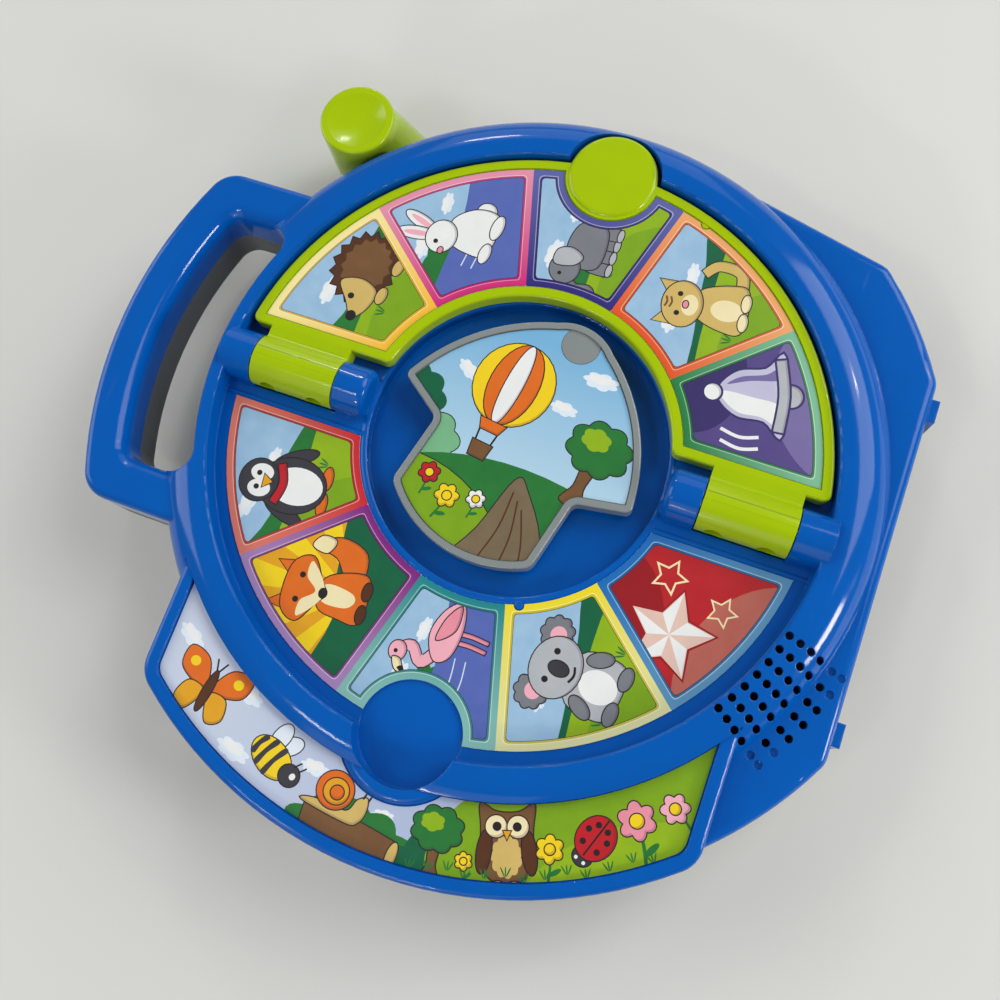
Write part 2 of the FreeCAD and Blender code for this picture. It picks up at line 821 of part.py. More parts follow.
def page_pip(gap=0.0):
    """Return the small half-round mark on the inner side of the page's rim, grown by a gap."""
    x, y = polar(page_outer_r - page_rim, page_pip_angle)
    floor = page_top_z - page_label_depth
    return cylinder(pip_r + gap, floor - page_skin / 2, page_top_z - pip_rise / 2, x, y)


def page_body():
    """Return the whole page: plate, tab, knuckles and webs, less bores, picture recesses and hollow."""
    plate = half_ring(page_outer_r, page_inner_r, page_edge_x, page_low_z, page_top_z, page_corner_r)
    plate = round_level(plate, page_corner_r / 3, page_top_z)
    plate = round_level(plate, page_corner_r / 3, page_low_z)
    tab = cylinder(tab_r, page_low_z - tab_dome, page_top_z + tab_dome, tab_x)
    tab = round_level(tab, tab_dome * 2, page_top_z + tab_dome)
    tab = round_level(tab, tab_dome * 2, page_low_z - tab_dome)
    solids = [plate, tab]
    solids += [page_knuckle(), page_knuckle().mirror(V(0, 0, 0), V(0, 1, 0))]
    body = fused(solids)
    depth = page_label_depth
    holes = [
        page_label_area(page_top_z - depth, page_top_z + tab_dome + overcut),
        page_label_area(page_low_z - tab_dome - overcut, page_low_z + depth),
        half_ring(page_outer_r - page_rim, page_inner_r + page_rim, page_edge_x + page_rim,
                  page_low_z + depth + page_skin, page_top_z - depth - page_skin),
        across(pin_r + running_gap, -ring_inner_r, ring_inner_r, hinge_z),
    ]
    return body.cut(fused(holes[:2])).cut(holes[2]).cut(holes[3]).fuse(page_pip())


def front_half_space():
    """Return the space above the page's mid-plane on the +X side of the hinge axis."""
    reach = page_outer_r + tab_r + page_rim
    return block(0, reach, -reach, reach, hinge_z, crest_z + knuckle_r)


def make_page_labels():
    """Return the page's upper and lower picture sheets."""
    floor = page_top_z - page_label_depth
    upper = page_label_area(floor, floor + label_t, label_edge_gap).cut(page_pip(label_edge_gap))
    roof = page_low_z + page_label_depth
    lower = page_label_area(roof - label_t, roof, label_edge_gap)
    return upper, lower


# ---------------------------------------------------------------- labels on the housing
def dial_label(side):
    """Return the picture sheet on one half of the dial; side is 1 for +X and -1 for -X."""
    inner = well_r + bead_width + label_edge_gap
    outer = ring_inner_r - page_rim_gap - page_rim + label_edge_gap
    sheet = half_ring(outer, inner, dial_label_x, deck_z, deck_z + label_t)
    sheet = sheet.cut(cylinder(tab_r + tab_gap + label_edge_gap, deck_z, deck_z + label_t, tab_x))
    if side > 0:
        return sheet
    return sheet.mirror(V(0, 0, 0), V(1, 0, 0)).cut(dial_pip(label_edge_gap))


def make_strip_label():
    """Return the curved picture sheet on the side ledge."""
    inset = strip_rim + label_edge_gap
    sheet = strip_bar(strip_floor_z, strip_floor_z + label_t, inset, strip_inner_r + label_edge_gap)
    lip_r = tab_r + tab_gap + tab_lip + label_edge_gap
    return sheet.cut(cylinder(lip_r, strip_floor_z, strip_floor_z + label_t, -tab_x))


# ---------------------------------------------------------------- arrow spinner
def arrow_outline():
    """Return the arrow's outline, pointing along +X at level zero, with its corners rounded."""
    head = (arrow_tip_r - arrow_tip_depth, arrow_tip_half)
    side = (arrow_bulge_x, arrow_bulge_y)
    barb = (0.0, arrow_barb)
    notch = (-arrow_notch_back, arrow_notch)
    tail = (-corner_x(arrow_tail_r, arrow_notch), arrow_notch)
    edges = []
    for sign in (1, -1):
        corners = [V(x, sign * y, 0) for x, y in (head, side, barb, notch, tail)]
        edges.append(Part.Arc(corners[0], corners[1], corners[2]).toShape())
        edges.append(Part.makeLine(corners[2], corners[3]))
        edges.append(Part.makeLine(corners[3], corners[4]))
    for x, y, middle in ((head[0], head[1], arrow_tip_r), (tail[0], tail[1], -arrow_tail_r)):
        edges.append(Part.Arc(V(x, y, 0), V(middle, 0, 0), V(x, -y, 0)).toShape())
    slab = Part.Face(Part.Wire(Part.__sortEdges__(edges))).extrude(UP)
    for radius, (x, y) in ((arrow_barb_r, barb), (arrow_notch_r, notch), (arrow_tail_corner_r, tail)):
        slab = round_uprights(slab, radius, [(x, y), (x, -y)], 1.0)
    floors = [face for face in slab.Faces if face.BoundBox.ZMax < 1e-6]
    return floors[0]


def arrow_slab(low, high, inset=0.0):
    """Return a slab over the arrow's outline, drawn in by an amount."""
    face = arrow_outline()
    if inset:
        face = face.makeOffset2D(-inset)
    face.translate(V(0, 0, low))
    return face.extrude(V(0, 0, high - low))


def make_spinner_frame():
    """Return the grey arrow: a rimmed tray, hollow underneath, with the shaft's socket."""
    body = arrow_slab(arrow_under_z, arrow_top_z)
    body = round_level(body, arrow_rim / 4, arrow_top_z)
    floor = arrow_top_z - arrow_label_depth
    tray = arrow_slab(floor, arrow_top_z + overcut, arrow_rim)
    under = arrow_slab(arrow_under_z, floor - arrow_skin, arrow_rim)
    disc = cylinder(arrow_disc_r, floor, floor + label_t, arrow_disc_u).common(tray)
    hub = cylinder(collar_r, arrow_under_z, floor)
    body = fused([body.cut(tray).cut(under), hub, disc])
    return turned(body.cut(cylinder(shaft_r, arrow_under_z, arrow_under_z + shaft_socket)), arrow_angle)


def make_spinner_label():
    """Return the arrow's picture sheet, cut round the disc at the tip."""
    floor = arrow_top_z - arrow_label_depth
    sheet = arrow_slab(floor, floor + label_t, arrow_rim + label_edge_gap)
    hole = cylinder(arrow_disc_r + label_edge_gap / 2, floor, floor + label_t, arrow_disc_u)
    return turned(sheet.cut(hole), arrow_angle)


def make_spinner_shaft():
    """Return the shaft with the collar that carries the arrow on the bearing."""
    rod = cylinder(shaft_r, shaft_seat_z + seat_gap, arrow_under_z + shaft_socket)
    collar = cylinder(collar_r, well_floor_z + seat_gap, arrow_under_z)
    return rod.fuse(collar)


# ---------------------------------------------------------------- gears
def involute(angle):
    """Return the involute function of an angle in radians."""
    return math.tan(angle) - angle


def gear_solid(teeth, low, high, tooth_angle):
    """Return a spur gear with one tooth centred at an angle in degrees."""
    pitch_r = teeth * module / 2
    pressure = math.radians(pressure_angle)
    base_circle = pitch_r * math.cos(pressure)
    root_r = pitch_r - tooth_root * module
    tip_r = pitch_r + module
    half = math.pi / (2 * teeth) - tooth_gap / pitch_r
    start = max(base_circle, root_r)
    radii = [start + (tip_r - start) * step / 3 for step in range(4)]
    flank = [(root_r, half + involute(pressure) - involute(math.acos(base_circle / start)))]
    for radius in radii:
        lean = involute(math.acos(min(1.0, base_circle / radius)))
        flank.append((radius, half + involute(pressure) - lean))
    points = []
    for index in range(teeth):
        middle = tooth_angle + 360.0 * index / teeth
        points += [polar(radius, middle - math.degrees(spread)) for radius, spread in flank]
        points += [polar(radius, middle + math.degrees(spread)) for radius, spread in reversed(flank)]
    return prism(points, low, high)


def make_lever_arm():
    """Return the lever's arm: a hub on the gearbox post, a toothed sector and the arm to the knob."""
    high = sector_z + sector_t
    pitch = 360.0 / lever_teeth
    wheel = gear_solid(lever_teeth, sector_z, high, idler_angle)
    first = idler_angle - sector_teeth_before * pitch
    last = idler_angle + lever_travel + sector_teeth_after * pitch
    reach = 2 * sector_pitch_r
    middle = (first + last) / 2
    wedge = [(0, 0), polar(reach, first), polar(reach, middle), polar(reach, last)]
    sector = wheel.common(prism(wedge, sector_z, high))
    window = tube(sector_pitch_r - sector_rim, hub_r + wall, sector_z, high)
    inner = [(0, 0), polar(reach, first + pitch), polar(reach, middle), polar(reach, last - pitch)]
    sector = sector.cut(window.common(prism(inner, sector_z, high)))
    half = lever_arm_width / 2
    arm = turned(block(0, knob_centre_r, -half, half, sector_z, high), lever_angle)
    peg_x, peg_y = polar(hub_r - spring_peg_r - spring_peg_inset, lever_angle)
    peg = cylinder(spring_peg_r, spring_z, sector_z, peg_x, peg_y)
    hub = cylinder(hub_r, hub_low_z, high)
    body = fused([hub, sector, arm, peg])
    screw_x, screw_y = polar(knob_centre_r - half, lever_angle)
    return body.cut(cylinder(post_r + running_gap, 0, parting_z)).cut(
        cylinder(screw_r, 0, parting_z, screw_x, screw_y))


def housing_clearance():
    """Return the housing's turned outside grown by the knob's clearance."""
    grown = ring_outer_r + knob_clearance
    radius = flank_r + knob_clearance
    centre_z = crest_z - flank_r
    slope = math.sqrt(0.5) * radius
    points = [(0, 0), (grown, 0), (grown, centre_z), (crest_outer_r, crest_z + knob_clearance),
              (0, crest_z + knob_clearance)]
    return revolved(points, {2: (crest_outer_r + slope, centre_z + slope)})


def make_lever_knob():
    """Return the lever's hand piece: a dished round column that flares towards its lower edge."""
    column = cylinder(knob_r, knob_low_z, knob_top_z, knob_centre_r)
    neck = Part.Circle(V(knob_centre_r, 0, knob_top_z - knob_rim), UP, knob_r - knob_flare_inset)
    upper = Part.Wire(neck.toShape())
    lower = Part.Wire(Part.Circle(V(knob_centre_r, -knob_flare, knob_low_z), UP, knob_flare_r).toShape())
    flare = Part.makeLoft([lower, upper], True)
    dish_r = (knob_r - knob_rim) ** 2 / (2 * knob_dish) + knob_dish / 2
    dish = Part.makeSphere(dish_r, V(knob_centre_r, 0, knob_top_z + dish_r - knob_dish))
    column = round_level(column, knob_rim / 3, knob_top_z)
    column = turned(fused([column, flare]).cut(dish), lever_angle)
    half = lever_arm_width / 2
    socket = block(0, knob_centre_r, -half, half, sector_z, sector_z + sector_t)
    screw_x, screw_y = polar(knob_centre_r - half, lever_angle)
    holes = [housing_clearance(), turned(socket, lever_angle),
             cylinder(screw_head_r + seat_gap, 0, sector_z - screw_head_t, screw_x, screw_y),
             cylinder(screw_r, 0, sector_z + sector_t + wall, screw_x, screw_y)]
    for hole in holes:
        column = column.cut(hole)
    return column


def make_lever_screw():
    """Return the screw that holds the knob on the arm."""
    screw_x, screw_y = polar(knob_centre_r - lever_arm_width / 2, lever_angle)
    return screw_solid(screw_x, screw_y, sector_z - screw_head_t, screw_head_t + sector_t + wall)


def make_lever_spring():
    """Return the flat spiral spring round the gearbox post, with its end beside the lever's peg."""
    inner = post_r + spring_inner_gap
    last = lever_angle + math.degrees(2 * spring_peg_r / hub_r)
    steps = int(spring_turns * 20)
    near = []
    far = []
    for step in range(steps + 1):
        share = step / steps
        radius = inner + (hub_r - spring_peg_r - inner) * share
        angle = last + 360.0 * spring_turns * (1 - share)
        near.append(polar(radius - spring_band / 2, angle))
        far.append(polar(radius + spring_band / 2, angle))
    return prism(near + far[::-1], spring_z, spring_z + spring_height)


def make_idler_gear():
    """Return the compound wheel: its pinion meets the lever's sector, its large wheel the arrow's gear."""
    pitch = 360.0 / pinion_teeth
    pinion = gear_solid(pinion_teeth, hub_low_z, wheel_z, idler_angle + 180 + pitch / 2)
    wheel = gear_solid(wheel_teeth, wheel_z, wheel_z + wheel_t, idler_angle + 180)
    windows = []
    middle = (wheel_pitch_r + pinion_pitch_r) / 2
    for index in range(wheel_windows):
        x, y = polar(middle, index * 360.0 / wheel_windows)
        windows.append(cylinder(wheel_window_r, wheel_z, wheel_z + wheel_t, x, y))
    wheel = wheel.cut(fused(windows))
    hub = cylinder(idler_boss_r, plate_top_z + seat_gap, bearing_low_z - seat_gap)
    body = fused([pinion, wheel, hub]).cut(cylinder(pin_r + running_gap, 0, parting_z))
    body.translate(V(idler_x, idler_y, 0))
    return body


def make_spinner_gear():
    """Return the gear on the arrow's shaft."""
    pitch = 360.0 / spinner_teeth
    gear = gear_solid(spinner_teeth, spinner_gear_low_z, spinner_gear_high_z, idler_angle + pitch / 2)
    return gear.cut(cylinder(shaft_r, 0, parting_z))


def flat_bar(start, end, half, low, high):
    """Return a straight bar of a half width between two plan positions."""
    length = math.hypot(end[0] - start[0], end[1] - start[1])
    side_x = half * (start[1] - end[1]) / length
    side_y = half * (end[0] - start[0]) / length
    corners = [(start[0] + side_x, start[1] + side_y), (end[0] + side_x, end[1] + side_y),
               (end[0] - side_x, end[1] - side_y), (start[0] - side_x, start[1] - side_y)]
    return prism(corners, low, high)


def make_gearbox_plate():
    """Return the plate under the gears, with the tube that the lever turns on."""
    left, right, far, near = plate_posts()
    half = (post_r + wall) / 2
    solids = [cylinder(hub_r, plate_z, plate_top_z)]
    solids.append(cylinder(post_r + wall, plate_z, plate_top_z, idler_x, idler_y))
    solids += [cylinder(board_post_r + wall / 2, plate_z, plate_top_z, x, y) for x, y in plate_posts()]
    solids.append(flat_bar(near, far, half, plate_z, plate_top_z))
    solids.append(flat_bar(left, right, half, plate_z, plate_top_z))
    solids.append(cylinder(post_r, plate_z, post_top_z))
    body = fused(solids)
    body = body.cut(cylinder(shaft_r + running_gap, shaft_seat_z, post_top_z))
    body = body.cut(cylinder(pin_r, plate_z, plate_top_z, idler_x, idler_y))
    for x, y in plate_posts():
        body = body.cut(cylinder(screw_r, plate_z, plate_top_z, x, y))
    return body


# ---------------------------------------------------------------- battery compartment
def cell_places():
    """Return the y positions of the two cells."""
    return [bay_y + side * (cell_r + cell_gap / 2) for side in (1, -1)]


def make_cells():
    """Return two AA cells lying along X, turned opposite ways."""
    level = door_t + cell_gap + cell_r
    cells = []
    for side, y in zip((1, -1), cell_places()):
        start = bay_x - side * cell_length / 2
        length = cell_length - cell_nub_length
        body = Part.makeCylinder(cell_r, length, V(start, y, level), V(side, 0, 0))
        tip = V(start + side * length, y, level)
        nub = Part.makeCylinder(cell_nub_r, cell_nub_length, tip, V(side, 0, 0))
        cells.append(body.fuse(nub))
    return Part.makeCompound(cells)


def make_contacts():
    """Return the metal plates at both ends of the battery bay, each with its spring leaf."""
    level = door_t + cell_gap + cell_r
    solids = []
    for end in (1, -1):
        wall_x = bay_x + end * bay_size()[0]
        face_x = wall_x - end * contact_t
        cell_x = bay_x + end * cell_length / 2
        outside = sorted((wall_x, face_x))
        inside = sorted((face_x, cell_x))
        for y in cell_places():
            plate = block(outside[0], outside[1], y - contact_half, y + contact_half, level - contact_half,
                          level + contact_half)
            room = inside[1] - inside[0]
            leaf = Part.makeCylinder(contact_leaf_r, room, V(inside[0], y, level), V(1, 0, 0))
            solids.append(plate.fuse(leaf))
    return Part.makeCompound(solids)


def make_battery_door():
    """Return the door with its screw hole and the rib between the cells."""
    slab = door_slab(door_gap)
    half = cell_length / 3
    rib = block(bay_x - half, bay_x + half, bay_y - cell_gap, bay_y + cell_gap, door_t,
                door_t + door_rib_rise)
    return slab.fuse(rib).cut(cylinder(screw_r, 0, door_t, door_screw_x(), bay_y))


def make_door_screw():
    """Return the space of the door screw's flush head, and the screw itself."""
    x = door_screw_x()
    head = cylinder(screw_head_r, 0, door_screw_head_t, x, bay_y)
    shank = cylinder(screw_r, door_screw_head_t, bay_size()[2] - 2 * wall, x, bay_y)
    return head, head.fuse(shank).cut(cross_recess(x, bay_y, 0, cross_depth))


# ---------------------------------------------------------------- speaker
def make_speaker_frame():
    """Return the steel basket that carries the cone and the magnet."""
    flange_top = speaker_flange_z + speaker_flange_t
    floor_z = magnet_z + magnet_t
    points = [(magnet_r, floor_z), (basket_r, speaker_flange_z), (speaker_r, speaker_flange_z),
              (speaker_r, flange_top), (basket_r - basket_t, flange_top),
              (magnet_r - basket_t, floor_z + basket_floor_t), (0, floor_z + basket_floor_t), (0, floor_z)]
    basket = revolved(points)
    basket.translate(V(speaker_x, speaker_y, 0))
    return basket


def make_speaker_magnet():
    """Return the round magnet under the basket."""
    return cylinder(magnet_r, magnet_z, magnet_z + magnet_t, speaker_x, speaker_y)


def make_speaker_cone():
    """Return the paper cone, glued to the flange, with its dust cap."""
    rim_z = speaker_flange_z + speaker_flange_t
    low_z = magnet_z + magnet_t + basket_floor_t + cone_lift
    inner_r = basket_r - 2 * basket_t
    edge = basket_r + speaker_seat / 2
    points = [(0, low_z), (dust_cap_r, low_z), (inner_r, rim_z), (edge, rim_z), (edge, rim_z + cone_t),
              (inner_r - cone_t, rim_z + cone_t), (dust_cap_r - cone_t, low_z + cone_t),
              (0, low_z + cone_t + dust_cap_rise)]
    cone = revolved(points)
    cone.translate(V(speaker_x, speaker_y, 0))
    return cone


# ---------------------------------------------------------------- electronics
def make_circuit_board():
    """Return the sound board with its four screw holes."""
    board = block(board_x - board_length / 2, board_x + board_length / 2, board_y - board_width / 2,
                  board_y + board_width / 2, board_z, board_z + board_t)
    for x, y in board_posts():
        board = board.cut(cylinder(screw_r, board_z, board_z + board_t, x, y))
    return board


def make_board_parts():
    """Return the sound chip's round blob, a capacitor and a connector on the board."""
    top = board_z + board_t
    dome_r = (chip_r ** 2 + chip_rise ** 2) / (2 * chip_rise)
    dome = Part.makeSphere(dome_r, V(board_x, board_y, top + chip_rise - dome_r))
    chip = dome.common(cylinder(chip_r + overcut, top, top + chip_rise + overcut, board_x, board_y))
    can = cylinder(can_r, top, top + can_height, board_x + board_length / 4, board_y + board_width / 3)
    plug_x = board_x - board_length / 4
    plug_y = board_y - board_width / 3
    plug = block(plug_x - plug_length / 2, plug_x + plug_length / 2, plug_y - plug_width / 2,
                 plug_y + plug_width / 2, top, top + plug_height)
    return Part.makeCompound([chip, can, plug])


def make_board_screws():
    """Return the short screws of the sound board and of the gearbox plate."""
    board_top = board_z + board_t
    screws = [screw_solid(x, y, board_top, board_top - wall, False) for x, y in board_posts()]
    screws += [screw_solid(x, y, plate_top_z, plate_top_z - wall, False) for x, y in plate_posts()]
    return Part.makeCompound(screws)


def make_position_board():
    """Return the ring board under the well that senses where the arrow points."""
    high = well_floor_z - wall
    return tube(ring_board_outer_r, ring_board_inner_r, high - ring_board_t, high)


def make_wiper():
    """Return the springy contact on the arrow's gear that touches the ring board."""
    low = spinner_gear_high_z
    inner = bearing_r + contact_t * 2
    ring = tube(inner + wiper_ring_width, inner, low, low + contact_t)
    tip_z = well_floor_z - wall - ring_board_t - contact_t
    tip_x = (ring_board_inner_r + ring_board_outer_r) / 2
    start_x = inner + wiper_ring_width - contact_t
    side_y = -wiper_width / 2
    side = [V(start_x, side_y, low), V(tip_x, side_y, tip_z), V(tip_x, side_y, tip_z + contact_t),
            V(start_x, side_y, low + contact_t)]
    finger = Part.Face(Part.makePolygon(side + side[:1])).extrude(V(0, wiper_width, 0))
    return turned(ring.fuse(finger), arrow_angle)


def build():
    """Return every sub-part by name."""
    page = page_body()
    upper_label, lower_label = make_page_labels()
    door_seat, door_screw = make_door_screw()
    pins = Part.makeCompound(pin_solids())
    axle = cylinder(pin_r, plate_z, well_floor_z - wall, idler_x, idler_y)
    return {
        "front_housing": make_front_housing(),
        "rear_cover": make_rear_cover(),
        "housing_screws": make_housing_screws(),
        "hinge_pins": pins,
        "left_dial_label": dial_label(-1),
        "right_dial_label": dial_label(1),
        "side_strip_label": make_strip_label(),
        "page_front_shell": page.common(front_half_space()),
        "page_back_shell": page.cut(front_half_space()),
        "page_front_label": upper_label,
        "page_back_label": lower_label,
        "spinner_frame": make_spinner_frame(),
        "spinner_label": make_spinner_label(),
        "spinner_shaft": make_spinner_shaft(),
        "spinner_gear": make_spinner_gear(),
        "position_wiper": make_wiper(),
        "position_board": make_position_board(),
        "idler_gear": make_idler_gear(),
        "idler_axle": axle,
        "gearbox_plate": make_gearbox_plate(),
        "lever_arm": make_lever_arm(),
        "lever_knob": make_lever_knob(),
        "lever_screw": make_lever_screw(),
        "lever_spring": make_lever_spring(),
        "battery_door": make_battery_door().cut(door_seat),
        "battery_door_screw": door_screw,
        "battery_contacts": make_contacts(),
        "aa_cells": make_cells(),
        "speaker_frame": make_speaker_frame(),
        "speaker_magnet": make_speaker_magnet(),
        "speaker_cone": make_speaker_cone(),
        "circuit_board": make_circuit_board(),
        "board_parts": make_board_parts(),
        "board_screws": make_board_screws(),
    }


os.makedirs("parts", exist_ok=True)
for name, shape in build().items():
    shape.exportStep("parts/" + name + ".step")
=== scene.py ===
"""Looks of a hand-held spinner toy: mouldings in blue, lime and grey, and printed picture sheets.

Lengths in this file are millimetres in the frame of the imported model, with +Y towards the carry handle
and +X towards the side where the page rests. They become metres where a mesh, lamp or camera is made.
"""
import logging
import math
from dataclasses import dataclass, field
from enum import Enum
from typing import Callable, Iterable

import bpy
from mathutils import Matrix, Vector
from mathutils.geometry import delaunay_2d_cdt


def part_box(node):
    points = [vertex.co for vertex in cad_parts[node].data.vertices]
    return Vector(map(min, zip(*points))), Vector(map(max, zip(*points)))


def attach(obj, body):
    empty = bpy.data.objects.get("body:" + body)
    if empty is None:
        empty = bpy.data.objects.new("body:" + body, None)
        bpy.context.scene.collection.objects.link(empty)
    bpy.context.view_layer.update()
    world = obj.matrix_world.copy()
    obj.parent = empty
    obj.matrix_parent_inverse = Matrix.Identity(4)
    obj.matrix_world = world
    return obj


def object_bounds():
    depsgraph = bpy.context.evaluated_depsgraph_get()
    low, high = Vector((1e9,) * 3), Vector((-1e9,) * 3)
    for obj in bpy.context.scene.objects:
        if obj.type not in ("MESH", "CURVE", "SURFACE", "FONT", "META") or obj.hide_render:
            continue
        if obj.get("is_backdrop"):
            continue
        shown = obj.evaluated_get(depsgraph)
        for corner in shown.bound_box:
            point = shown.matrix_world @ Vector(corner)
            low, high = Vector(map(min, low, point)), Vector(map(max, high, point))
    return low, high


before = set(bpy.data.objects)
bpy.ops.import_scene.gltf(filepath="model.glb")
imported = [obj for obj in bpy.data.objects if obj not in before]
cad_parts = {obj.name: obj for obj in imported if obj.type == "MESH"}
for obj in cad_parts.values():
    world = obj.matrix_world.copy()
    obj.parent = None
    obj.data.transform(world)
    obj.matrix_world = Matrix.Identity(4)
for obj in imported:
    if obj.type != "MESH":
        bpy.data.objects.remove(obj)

LOG = logging.getLogger("spinner_toy")
MM = 0.001
# Shorter than any real length, for tests against zero.
TINY = 1e-6
# How far the corners of a sheet's printed face may lie from its plane.
FLAT_MM = 0.01
# Digits that tell two corners of a sheet's outline apart.
PLAN_DIGITS = 3
# Points of a print that lie nearer than this are one point.
WELD_MM = 1e-5

Point = tuple[float, float]
Outline = list[Point]
Socket = bpy.types.NodeSocket


# ---------------------------------------------------------------- colour, node and mesh helpers
def linear(hex_colour: str) -> tuple[float, float, float, float]:
    """Turn six sRGB hex digits into linear red, green and blue, and an alpha of 1."""
    values = []
    for index in (0, 2, 4):
        share = int(hex_colour[index:index + 2], 16) / 255
        values.append(share / 12.92 if share <= 0.04045 else ((share + 0.055) / 1.055) ** 2.4)
    return values[0], values[1], values[2], 1.0


def mixed(first: str, second: str, share: float) -> str:
    """Return the hex colour a share of the way from the first to the second."""
    parts = [int(first[i:i + 2], 16) * (1 - share) + int(second[i:i + 2], 16) * share for i in (0, 2, 4)]
    return "".join(f"{round(part):02X}" for part in parts)


def add_node(tree: bpy.types.NodeTree, kind: str, settings: dict | None = None,
             links: dict | None = None) -> bpy.types.Node:
    """Add one node with its settings and incoming links.

    Args:
        tree: The node tree that gets the node.
        kind: Blender's type name of the node, less its "ShaderNode".
        settings: Values by property name or, where the node has no such property, by input.
        links: Output sockets by the input that they feed.

    Returns:
        The new node.
    """
    node = tree.nodes.new("ShaderNode" + kind)
    for key, value in (settings or {}).items():
        if isinstance(key, str) and hasattr(node, key):
            setattr(node, key, value)
        else:
            node.inputs[key].default_value = value
    for key, socket in (links or {}).items():
        tree.links.new(socket, node.inputs[key])
    return node


def new_object(name: str, corners: Iterable[tuple[float, float, float]], faces: list) -> bpy.types.Object:
    """Make a mesh object from corners in millimetres and each face's corner indexes, and link it."""
    mesh = bpy.data.meshes.new(name)
    mesh.from_pydata([(x * MM, y * MM, z * MM) for x, y, z in corners], [], faces)
    piece = bpy.data.objects.new(name, mesh)
    bpy.context.scene.collection.objects.link(piece)
    return piece


class Bench:
    """A node material in the making, with the steps that the finishes share.

    Attributes:
        material: The material.
        tree: Its node tree.
        output: The node that takes the finished shader.
        place: The socket with the object coordinates.
    """

    def __init__(self, name: str) -> None:
        """Start an empty material of that name."""
        self.material = bpy.data.materials.new(name)
        self.material.use_nodes = True
        self.tree = self.material.node_tree
        self.tree.nodes.clear()
        self.output = add_node(self.tree, "OutputMaterial")
        self.place = add_node(self.tree, "TexCoord").outputs["Object"]

    def noise(self, size_mm: float, detail: float, place: Socket | None = None) -> Socket:
        """Return a cloudy share from 0 to 1, laid out by the object's coordinates or by other ones."""
        vector = self.place if place is None else place
        return add_node(self.tree, "TexNoise", {"Scale": 1 / (size_mm * MM), "Detail": detail},
                        {"Vector": vector}).outputs["Fac"]

    def blend(self, first: str, second: str, share: Socket) -> Socket:
        """Return a colour that goes from the first to the second; 6 and 7 are a mix node's two colours."""
        return add_node(self.tree, "Mix", {"data_type": "RGBA", 6: linear(first), 7: linear(second)},
                        {0: share}).outputs[2]

    def remap(self, value: Socket, settings: dict) -> Socket:
        """Return a value stretched from one range to another, each of them 0 to 1 if it isn't set."""
        return add_node(self.tree, "MapRange", settings, {"Value": value}).outputs[0]

    def bump(self, height: Socket, strength: float, depth_mm: float, **links: Socket) -> Socket:
        """Return the normal of a face that a height makes uneven, with any further links by input."""
        return add_node(self.tree, "Bump", {"Strength": strength, "Distance": depth_mm * MM},
                        {"Height": height, **links}).outputs[0]

    def finished(self, settings: dict, links: dict) -> bpy.types.Material:
        """Give the material its shader and return it."""
        shader = add_node(self.tree, "BsdfPrincipled", settings, links)
        self.tree.links.new(shader.outputs[0], self.output.inputs["Surface"])
        return self.material


# ---------------------------------------------------------------- finishes
@dataclass(frozen=True)
class MouldedPlastic:
    """Injection-moulded plastic with a polished or a satin mould face.

    The eye sees an even body colour with a very faint mottle, a clear highlight with a slight ripple
    from the mould, soft worn edges, and fine rubbed lines on the flats.

    Attributes:
        name: The material's name.
        colour: The body colour.
        mottle: The colour of the faint mottle.
        roughness: Roughness of the clean mould face.
        specular: Strength of the surface reflection, 0.5 being plain plastic.
        edge_mm: Radius of the softened edges.
        mottle_mm: Size of the mottle.
        ripple_mm: Size of the ripples in the mould face.
        ripple_depth_mm: Depth of the ripples.
        ripple_strength: How much of that depth shows.
        scratch_mm: Spacing of the rubbed lines.
        scratch_stretch: How much closer they lie along each axis.
        scratch_turn: Their turn on the flats, in radians.
        scratch_range: Shares of the noise where a line begins and where it is full.
        scratch_gain: Roughness that a full line adds.
        ior: Refractive index.
    """

    name: str
    colour: str
    mottle: str
    roughness: float = 0.3
    specular: float = 0.5
    edge_mm: float = 0.3
    mottle_mm: float = 16.0
    ripple_mm: float = 11.0
    ripple_depth_mm: float = 0.1
    ripple_strength: float = 0.2
    scratch_mm: float = 26.0
    scratch_stretch: tuple[float, float, float] = (1.0, 10.0, 1.0)
    scratch_turn: float = 0.6
    scratch_range: Point = (0.63, 0.74)
    scratch_gain: float = 0.14
    ior: float = 1.52

    def material(self) -> bpy.types.Material:
        """Build the node material."""
        bench = Bench(self.name)
        tint = bench.blend(self.colour, self.mottle, bench.noise(self.mottle_mm, 3.0))
        gloss = self._worn_roughness(bench)
        ripple = bench.noise(self.ripple_mm, 1.0)
        soft_edge = add_node(bench.tree, "Bevel", {"samples": 4, "Radius": self.edge_mm * MM})
        normal = bench.bump(ripple, self.ripple_strength, self.ripple_depth_mm, Normal=soft_edge.outputs[0])
        return bench.finished({"IOR": self.ior, "Specular IOR Level": self.specular},
                              {"Base Color": tint, "Roughness": gloss, "Normal": normal})

    def _worn_roughness(self, bench: Bench) -> Socket:
        """Return the roughness, a little higher along fine rubbed lines."""
        stretched = add_node(bench.tree, "Mapping", {
            "Scale": self.scratch_stretch, "Rotation": (0.0, 0.0, self.scratch_turn)},
            {"Vector": bench.place})
        rubbed = bench.noise(self.scratch_mm, 6.0, stretched.outputs[0])
        scratch = bench.remap(rubbed, {"From Min": self.scratch_range[0], "From Max": self.scratch_range[1],
                                       "To Max": self.scratch_gain})
        return add_node(bench.tree, "Math", {"operation": "ADD", 1: self.roughness}, {0: scratch}).outputs[0]


class Fade(Enum):
    """How a printed ink changes over its sheet."""

    MOTTLED = "mottled"
    OUTWARDS = "outwards"
    UPWARDS = "upwards"
    SIDEWAYS = "sideways"


